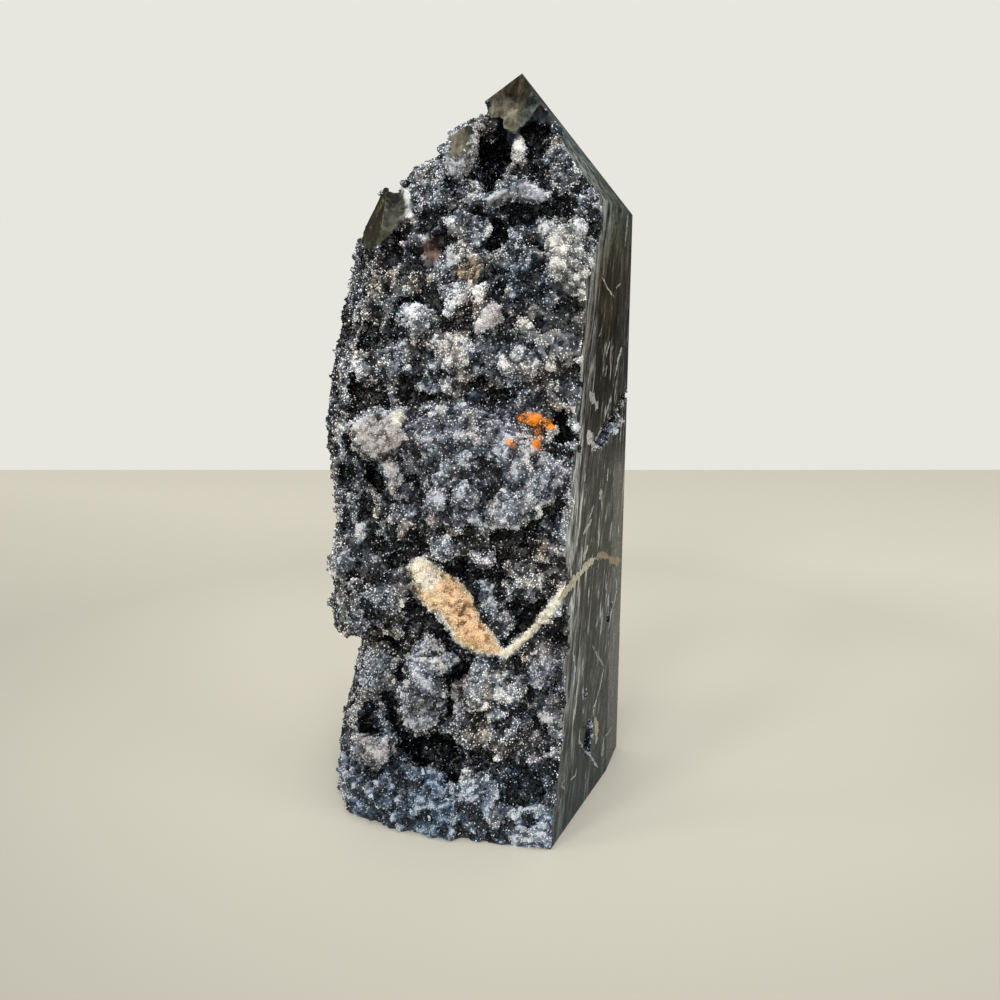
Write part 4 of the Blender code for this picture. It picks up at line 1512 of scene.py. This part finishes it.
# Inputs of the crystal tree: kind of socket and value to start from
CRYSTAL_INPUTS = {
    "Geometry": ("NodeSocketGeometry", None),
    "Lowest": ("NodeSocketFloat", 0.0),
    "Highest": ("NodeSocketFloat", HEIGHT * MM),
    "Density": ("NodeSocketFloat", 1.0e8),
    "Lump spacing": ("NodeSocketFloat", 1.4 * MM),
    "Lump radius": ("NodeSocketFloat", 0.8 * MM),
    "Lumps only": ("NodeSocketBool", False),
    "Grain spacing": ("NodeSocketFloat", 0.5 * MM),
    "Grain radius": ("NodeSocketFloat", 0.35 * MM),
    "Tilt": ("NodeSocketFloat", 0.6),
    "Seed": ("NodeSocketInt", 1),
    "Material": ("NodeSocketMaterial", None),
}

# Crystals on the crust: the attribute that says how thickly they stand, their least and greatest
# size as shares of the common one, and the seed of their turns, after which comes their sizes'
CRYSTALS = {
    "Lump": ("lumpy", (0.5, 0.7, 0.5), (1.4, 1.6, 1.3), 5),
    "Grain": ("grainy", (0.7, 0.7, 0.6), (1.3, 1.3, 1.3), 11),
}

# Shapes of the crystals, in radii: a lump's top radius, its length and how deep it is rooted,
# and a grain's length
LUMP_TOP = 0.5
LUMP_LENGTH = 1.5
LUMP_ROOT = -0.7
GRAIN_LENGTH = 1.3
CRYSTAL_SIDES = 6

# Tones of the lumps, least and greatest against the crust's, with their seed, and the number
# that stands in for a grain's own on their bare sides, which darkens them: painted shade in the
# gaps between the grains
LUMP_TONES = (-0.16, 0.12)
LUMP_SEED = 23
LUMP_SHADE_GRAIN = 0.25

# The palest grains, painted near white as glints (a painted highlight), are smaller: the power
# that picks them, how much of their size they lose, and the seed of all grains' tones
SMALL_POWER = 6.0
SMALL_LOSS = 0.4
TONE_SEED = 37


def scattered(tree, given, kind, ground, chosen, crystal, shrink=None):
    """Nodes that set one kind of crystal on points spread over the ground, turned at random."""
    attribute, least, greatest, seed = CRYSTALS[kind]
    cover = add_node(tree, "GeometryNodeInputNamedAttribute", {"Name": attribute}, data_type="FLOAT")
    spread = add_node(
        tree,
        "GeometryNodeDistributePointsOnFaces",
        {
            "Mesh": ground,
            "Selection": chosen,
            "Distance Min": given[kind + " spacing"],
            "Density Max": given["Density"],
            "Density Factor": cover.outputs[0],
            "Seed": given["Seed"],
        },
        distribute_method="POISSON",
    )
    lean = add_node(tree, "ShaderNodeMath", {0: given["Tilt"], 1: -1.0}, operation="MULTIPLY")
    low = add_node(tree, "ShaderNodeCombineXYZ", {0: lean.outputs[0], 1: lean.outputs[0], 2: -math.pi})
    high = add_node(tree, "ShaderNodeCombineXYZ", {0: given["Tilt"], 1: given["Tilt"], 2: math.pi})
    angles = add_node(
        tree,
        "FunctionNodeRandomValue",
        {0: low.outputs[0], 1: high.outputs[0], "Seed": seed},
        data_type="FLOAT_VECTOR",
    )
    turn = add_node(tree, "FunctionNodeEulerToRotation", {0: angles.outputs[0]})
    turned = add_node(
        tree,
        "FunctionNodeRotateRotation",
        {0: spread.outputs["Rotation"], 1: turn.outputs[0]},
        rotation_space="LOCAL",
    )
    size = add_node(
        tree,
        "FunctionNodeRandomValue",
        {0: least, 1: greatest, "Seed": seed + 1},
        data_type="FLOAT_VECTOR",
    ).outputs[0]
    if shrink is not None:
        size = add_node(tree, "ShaderNodeVectorMath", {0: size, 3: shrink}, operation="SCALE").outputs[0]
    return add_node(
        tree,
        "GeometryNodeInstanceOnPoints",
        {
            "Points": spread.outputs["Points"],
            "Instance": crystal,
            "Rotation": turned.outputs[0],
            "Scale": size,
        },
    )


def grown_lumps(tree, given, rooted):
    """Nodes that grow the six-sided crystal lumps, each a little lighter or darker."""
    narrow, long, sunk = (
        add_node(
            tree,
            "ShaderNodeMath",
            {0: given["Lump radius"], 1: times},
            operation="MULTIPLY",
        ).outputs[0]
        for times in (LUMP_TOP, LUMP_LENGTH, LUMP_ROOT)
    )
    root = add_node(tree, "ShaderNodeCombineXYZ", {2: sunk})
    lump = add_node(
        tree,
        "GeometryNodeMeshCone",
        {
            "Vertices": CRYSTAL_SIDES,
            "Radius Top": narrow,
            "Radius Bottom": given["Lump radius"],
            "Depth": long,
        },
        fill_type="NGON",
    )
    lump = add_node(
        tree,
        "GeometryNodeTransform",
        {"Geometry": lump.outputs["Mesh"], "Translation": root.outputs[0]},
    )
    lumps = scattered(tree, given, "Lump", given["Geometry"], rooted, lump.outputs[0])
    shade = add_node(tree, "GeometryNodeInputNamedAttribute", {"Name": "shade"}, data_type="FLOAT")
    tone = add_node(
        tree,
        "FunctionNodeRandomValue",
        {2: LUMP_TONES[0], 3: LUMP_TONES[1], "Seed": LUMP_SEED},
        data_type="FLOAT",
    )
    toned = add_node(
        tree,
        "ShaderNodeMath",
        {0: shade.outputs[0], 1: tone.outputs[1]},
        operation="ADD",
        use_clamp=True,
    )
    # The lumps' grain number darkens their bare sides: painted shade between the grains
    for name, value in (("shade", toned.outputs[0]), ("grain", LUMP_SHADE_GRAIN)):
        lumps = add_node(
            tree,
            "GeometryNodeStoreNamedAttribute",
            {"Geometry": lumps.outputs[0], "Name": name, "Value": value},
            data_type="FLOAT",
            domain="INSTANCE",
        )
    lumps = add_node(tree, "GeometryNodeRealizeInstances", {"Geometry": lumps.outputs[0]})
    return add_node(
        tree,
        "GeometryNodeStoreNamedAttribute",
        {"Geometry": lumps.outputs[0], "Name": "crust", "Value": 1.0},
        data_type="FLOAT",
        domain="FACE",
    ).outputs[0]


def grown_grains(tree, given, ground, chosen):
    """Nodes that grow the pointed six-sided grains, each with a random number for its tone."""
    tall = add_node(
        tree,
        "ShaderNodeMath",
        {0: given["Grain radius"], 1: GRAIN_LENGTH},
        operation="MULTIPLY",
    )
    point = add_node(
        tree,
        "GeometryNodeMeshCone",
        {
            "Vertices": CRYSTAL_SIDES,
            "Radius Bottom": given["Grain radius"],
            "Depth": tall.outputs[0],
        },
        fill_type="NONE",
    )
    tone = add_node(
        tree,
        "FunctionNodeRandomValue",
        {2: 0.0, 3: 1.0, "Seed": TONE_SEED},
        data_type="FLOAT",
    ).outputs[1]
    bright = add_node(tree, "ShaderNodeMath", {0: tone, 1: SMALL_POWER}, operation="POWER")
    smaller = add_node(
        tree,
        "ShaderNodeMath",
        {0: bright.outputs[0], 1: -SMALL_LOSS, 2: 1.0},
        operation="MULTIPLY_ADD",
    )
    grains = scattered(
        tree, given, "Grain", ground, chosen, point.outputs["Mesh"], smaller.outputs[0],
    )
    grains = add_node(
        tree,
        "GeometryNodeStoreNamedAttribute",
        {"Geometry": grains.outputs[0], "Name": "grain", "Value": tone},
        data_type="FLOAT",
        domain="INSTANCE",
    )
    return add_node(tree, "GeometryNodeRealizeInstances", {"Geometry": grains.outputs[0]}).outputs[0]


def crystal_tree():
    """Geometry nodes that grow crystal lumps on the crust, and then, on crust and lumps, the
    grains of one band of heights."""
    tree = bpy.data.node_groups.new("grow_crystals", "GeometryNodeTree")
    for name, (kind, value) in CRYSTAL_INPUTS.items():
        socket = tree.interface.new_socket(name, in_out="INPUT", socket_type=kind)
        if value is not None:
            socket.default_value = value
    tree.interface.new_socket("Geometry", in_out="OUTPUT", socket_type="NodeSocketGeometry")
    given = add_node(tree, "NodeGroupInput").outputs
    crust = add_node(tree, "GeometryNodeInputNamedAttribute", {"Name": "crust"}, data_type="FLOAT")
    place = add_node(tree, "GeometryNodeInputPosition")
    height = add_node(tree, "ShaderNodeSeparateXYZ", {0: place.outputs[0]}).outputs[2]
    rough, clear, above, below = (
        add_node(tree, "FunctionNodeCompare", {0: first, 1: second}, operation=operation).outputs[0]
        for first, second, operation in (
            (crust.outputs[0], 0.5, "GREATER_THAN"),
            (height, given["Lump radius"], "GREATER_THAN"),
            (height, given["Lowest"], "GREATER_EQUAL"),
            (height, given["Highest"], "LESS_THAN"),
        )
    )
    rooted, band = (
        add_node(tree, "FunctionNodeBooleanMath", {0: first, 1: second}, operation="AND").outputs[0]
        for first, second in ((rough, clear), (above, below))
    )
    chosen = add_node(tree, "FunctionNodeBooleanMath", {0: band, 1: rough}, operation="AND")
    lumps = grown_lumps(tree, given, rooted)
    ground = add_node(tree, "GeometryNodeJoinGeometry", {"Geometry": given["Geometry"]})
    tree.links.new(lumps, ground.inputs[0])
    grains = grown_grains(tree, given, ground.outputs[0], chosen.outputs[0])
    result = add_node(
        tree,
        "GeometryNodeSwitch",
        {"Switch": given["Lumps only"], "False": grains, "True": lumps},
        input_type="GEOMETRY",
    )
    finish = add_node(
        tree,
        "GeometryNodeSetMaterial",
        {"Geometry": result.outputs[0], "Material": given["Material"]},
    )
    add_node(tree, "NodeGroupOutput", {0: finish.outputs[0]})
    return tree


def grow_crystals(name, tree, body, values):
    """Run the crystal tree on the body's crust and keep the result as a plain mesh piece."""
    item = new_object(name, body.data.copy())
    modifier = item.modifiers.new("crystals", "NODES")
    modifier.node_group = tree
    inputs = (part for part in tree.interface.items_tree if part.in_out == "INPUT")
    sockets = {part.name: part.identifier for part in inputs}
    for key, value in values.items():
        modifier[sockets[key]] = value
    mesh = applied(item)
    mesh.polygons.foreach_set("use_smooth", [False] * len(mesh.polygons))
    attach(item, "root")
    return item


def crust_bands(mesh, count):
    """Heights that part the crust into bands of equal area."""
    faces = len(mesh.polygons)
    centres = np.empty(faces * 3)
    areas = np.empty(faces)
    slots = np.empty(faces, dtype=np.int32)
    mesh.polygons.foreach_get("center", centres)
    mesh.polygons.foreach_get("area", areas)
    mesh.polygons.foreach_get("material_index", slots)
    rough = slots == 0
    heights = centres.reshape(-1, 3)[rough, 2]
    order = np.argsort(heights)
    summed = np.cumsum(areas[rough][order])
    shares = summed[-1] * np.arange(1, count) / count
    inner = heights[order][np.searchsorted(summed, shares)]
    return [CLEAR_OF_FOOT, *(float(part) for part in inner), 2.0 * HEIGHT * MM]


# The grains lean this far at random (radians), and are spread from this seed
GRAIN_TILT = 0.7
SPREAD_SEED = 40

# The body's growth is shaped on voxels this much larger than the finished crust's
ROUGH_VOXELS = 1.25

# Corners of the floor, along the picture and away from the camera, m
FLOOR = ((-1.5, -0.9), (1.5, -0.9), (1.5, 0.33), (-1.5, 0.33))

# Light on the floor, m and share: it grows from the camera on, and is strong round the stone
FLOOR_DEEPER = (-0.12, 0.2, 0.46, 0.93)
FLOOR_NEAR = (0.04, 0.17, 1.38, 1.0)

# Strength of the room's light, as the camera sees it, in reflections and otherwise
ROOM_COLOUR = "#ECEBE3"
ROOM_SEEN = 0.96
ROOM_MIRRORED = 0.16
ROOM_LIGHT = 0.92

# Round lamps, aimed at the stone's middle: name, place and width (m), power (W), colour
LAMP_AIM = Vector((0.0, 0.0, HEIGHT / 2.0)) * MM
LAMPS = (
    ("key", (-0.50, -0.90, 1.05), 0.34, 4.2, "#FFFDF8"),
    ("left", (-0.90, -0.45, 0.95), 0.30, 2.0, "#FFFFFF"),
    ("front", (-0.10, -1.15, 0.85), 0.30, 3.4, "#FFFFFF"),
    ("right_front", (0.55, -0.85, 0.75), 0.26, 1.9, "#F8FAFF"),
    ("low_front", (0.05, -0.95, 0.22), 0.26, 1.2, "#F8FAFF"),
    ("top", (0.10, -0.20, 1.15), 0.34, 2.4, "#FFFFFF"),
    ("window", (0.85, -0.15, 0.75), 0.50, 2.0, "#F4F8FF"),
)

# Width of the camera's sensor and length of its lens, mm
SENSOR = 36.0


def floor_material(colour):
    """Matt glazed board: pale and even, with only a soft sheen. Its colour carries painted light,
    darker near the camera and lighter round the stone.
    """
    material, tree, shader = new_material("glazed_floor")
    place = add_node(tree, "ShaderNodeTexCoord").outputs["Object"]
    axes = add_node(tree, "ShaderNodeSeparateXYZ", {0: place})
    away = add_node(tree, "ShaderNodeVectorMath", {0: place}, operation="LENGTH")
    shown = (*colour, 1.0)
    for value, limits in ((axes.outputs[1], FLOOR_DEEPER), (away.outputs["Value"], FLOOR_NEAR)):
        light = add_node(tree, "ShaderNodeMapRange", dict(enumerate((value, *limits))))
        shown = add_node(
            tree,
            "ShaderNodeMix",
            {0: 1.0, 6: shown, 7: light.outputs[0]},
            **TIMES,
        ).outputs[2]
    tree.links.new(shown, shader.inputs["Base Color"])
    shader.inputs["Roughness"].default_value = 0.5
    return material


def lay_floor(colour):
    """Set the wide pale floor, square to the camera."""
    turn = math.radians(CAMERA_TURN)
    side = Vector((math.cos(turn), math.sin(turn), 0.0))
    away = Vector((-math.sin(turn), math.cos(turn), 0.0))
    mesh = bpy.data.meshes.new("floor")
    mesh.from_pydata([side * across + away * back for across, back in FLOOR], [], [(0, 1, 2, 3)])
    floor = new_object("floor", mesh)
    mesh.materials.append(floor_material(colour))


def light_room(scene):
    """Set the room's soft light and the lamps."""
    world = bpy.data.worlds.new("studio")
    world.use_nodes = True
    tree = world.node_tree
    background = tree.nodes["Background"]
    background.inputs["Color"].default_value = linear(ROOM_COLOUR)
    seen = add_node(tree, "ShaderNodeLightPath").outputs
    level = ROOM_LIGHT
    for ray, strength in (("Is Glossy Ray", ROOM_MIRRORED), ("Is Camera Ray", ROOM_SEEN)):
        level = add_node(tree, "ShaderNodeMapRange", {0: seen[ray], 3: level, 4: strength}).outputs[0]
    tree.links.new(level, background.inputs["Strength"])
    scene.world = world
    for name, place, size, power, colour in LAMPS:
        data = bpy.data.lights.new(name, "AREA")
        data.shape = "DISK"
        data.size = size
        data.energy = power
        data.color = linear(colour)[:3]
        lamp = bpy.data.objects.new(name, data)
        lamp.location = place
        lamp.rotation_euler = (LAMP_AIM - Vector(place)).to_track_quat("-Z", "Y").to_euler()
        scene.collection.objects.link(lamp)


def place_camera(scene):
    """Set the camera where the photograph was taken from."""
    data = bpy.data.cameras.new("camera")
    data.lens = SENSOR
    data.sensor_width = SENSOR
    data.clip_start = MM
    camera = bpy.data.objects.new("camera", data)
    camera.location = Vector(CAMERA_PLACE) * MM
    camera.rotation_euler = (math.radians(90.0 - CAMERA_TILT), 0.0, math.radians(CAMERA_TURN))
    scene.collection.objects.link(camera)
    scene.camera = camera
    scene.view_settings.view_transform = "Standard"


class StoneSettings(bpy.types.PropertyGroup):
    """Sizes that a user would change."""

    voxel: bpy.props.FloatProperty(
        name="Crust detail",
        description="Mesh size of the crust",
        default=0.54 * MM,
        min=0.3 * MM,
        max=2.0 * MM,
        subtype="DISTANCE",
        unit="LENGTH",
    )
    lump_spacing: bpy.props.FloatProperty(
        name="Lump spacing",
        description="Least distance between two crystal lumps",
        default=1.2 * MM,
        min=0.8 * MM,
        max=5.0 * MM,
        subtype="DISTANCE",
        unit="LENGTH",
    )
    lump_radius: bpy.props.FloatProperty(
        name="Lump radius",
        description="Radius of a common crystal lump",
        default=0.68 * MM,
        min=0.3 * MM,
        max=4.0 * MM,
        subtype="DISTANCE",
        unit="LENGTH",
    )
    grain_spacing: bpy.props.FloatProperty(
        name="Grain spacing",
        description="Least distance between two crystal grains",
        default=0.35 * MM,
        min=0.2 * MM,
        max=2.0 * MM,
        subtype="DISTANCE",
        unit="LENGTH",
    )
    grain_radius: bpy.props.FloatProperty(
        name="Grain radius",
        description="Radius of a common crystal grain",
        default=0.23 * MM,
        min=0.1 * MM,
        max=2.0 * MM,
        subtype="DISTANCE",
        unit="LENGTH",
    )
    grain_bands: bpy.props.IntProperty(
        name="Grain bands",
        description="Number of pieces that the grains are kept in",
        default=5,
        min=1,
        max=12,
    )
    floor_colour: bpy.props.FloatVectorProperty(
        name="Floor colour",
        description="Colour of the pale floor",
        default=linear("#D3CFC2")[:3],
        size=3,
        min=0.0,
        max=1.0,
        subtype="COLOR",
    )


class STONE_OT_body(bpy.types.Operator):
    """Make the stone: its natural crust, ground back to the polished faces"""

    bl_idname = "stone.body"
    bl_label = "Stone Body"

    def execute(self, context):
        settings = context.scene.stone
        item = closed_copy()
        shape_growth(remesh(item, settings.voxel * ROUGH_VOXELS))
        raise_fine_blocks(remesh(item, settings.voxel))
        mesh = grind_faces(item, crust_material(), polish_material())
        paint_growth(mesh)
        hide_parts(NODE)
        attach(item, "root")
        return {"FINISHED"}


class STONE_OT_veins(bpy.types.Operator):
    """Set the pale veins and scratches in the polished right face"""

    bl_idname = "stone.veins"
    bl_label = "Face Veins"

    def execute(self, context):
        item = vein_strips()
        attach(item, "root")
        return {"FINISHED"}


class STONE_OT_grains(bpy.types.Operator):
    """Grow the sparkling quartz grains on the crust, in bands from foot to tip"""

    bl_idname = "stone.grains"
    bl_label = "Crystal Grains"

    def execute(self, context):
        settings = context.scene.stone
        body = bpy.data.objects[BODY_NAME]
        tree = crystal_tree()
        limits = crust_bands(body.data, settings.grain_bands)
        values = {
            "Lump spacing": settings.lump_spacing,
            "Lump radius": settings.lump_radius,
            "Grain spacing": settings.grain_spacing,
            "Grain radius": settings.grain_radius,
            "Tilt": GRAIN_TILT,
            "Seed": SPREAD_SEED,
            "Material": quartz_material(),
        }
        grow_crystals("crystal_lumps", tree, body, {**values, "Lumps only": True})
        for index, (low, high) in enumerate(zip(limits, limits[1:])):
            band = {"Lowest": low, "Highest": high}
            grow_crystals(f"druse_grains_{index + 1}", tree, body, {**values, **band})
        return {"FINISHED"}


class STONE_OT_stage(bpy.types.Operator):
    """Set the pale floor, the soft light and the camera"""

    bl_idname = "stone.stage"
    bl_label = "Stage"

    def execute(self, context):
        scene = context.scene
        lay_floor(scene.stone.floor_colour)
        light_room(scene)
        place_camera(scene)
        return {"FINISHED"}


class STONE_PT_panel(bpy.types.Panel):
    """Lists the steps of the stone and their settings"""

    bl_idname = "STONE_PT_panel"
    bl_label = "Sphalerite Point"
    bl_space_type = "VIEW_3D"
    bl_region_type = "UI"
    bl_category = "Stone"

    def draw(self, context):
        settings = context.scene.stone
        for name in StoneSettings.__annotations__:
            self.layout.prop(settings, name)
        for step in STEPS:
            self.layout.operator(step.bl_idname)


STEPS = (STONE_OT_body, STONE_OT_veins, STONE_OT_grains, STONE_OT_stage)
CLASSES = (StoneSettings,) + STEPS + (STONE_PT_panel,)


def register():
    """Register the classes and the scene's settings."""
    for part in CLASSES:
        bpy.utils.register_class(part)
    bpy.types.Scene.stone = bpy.props.PointerProperty(type=StoneSettings)


def unregister():
    """Remove the settings and the classes."""
    del bpy.types.Scene.stone
    for part in reversed(CLASSES):
        bpy.utils.unregister_class(part)


def main():
    register()
    bpy.ops.stone.body()
    bpy.ops.stone.veins()
    bpy.ops.stone.grains()
    bpy.ops.stone.stage()


if __name__ == "__main__":
    main()
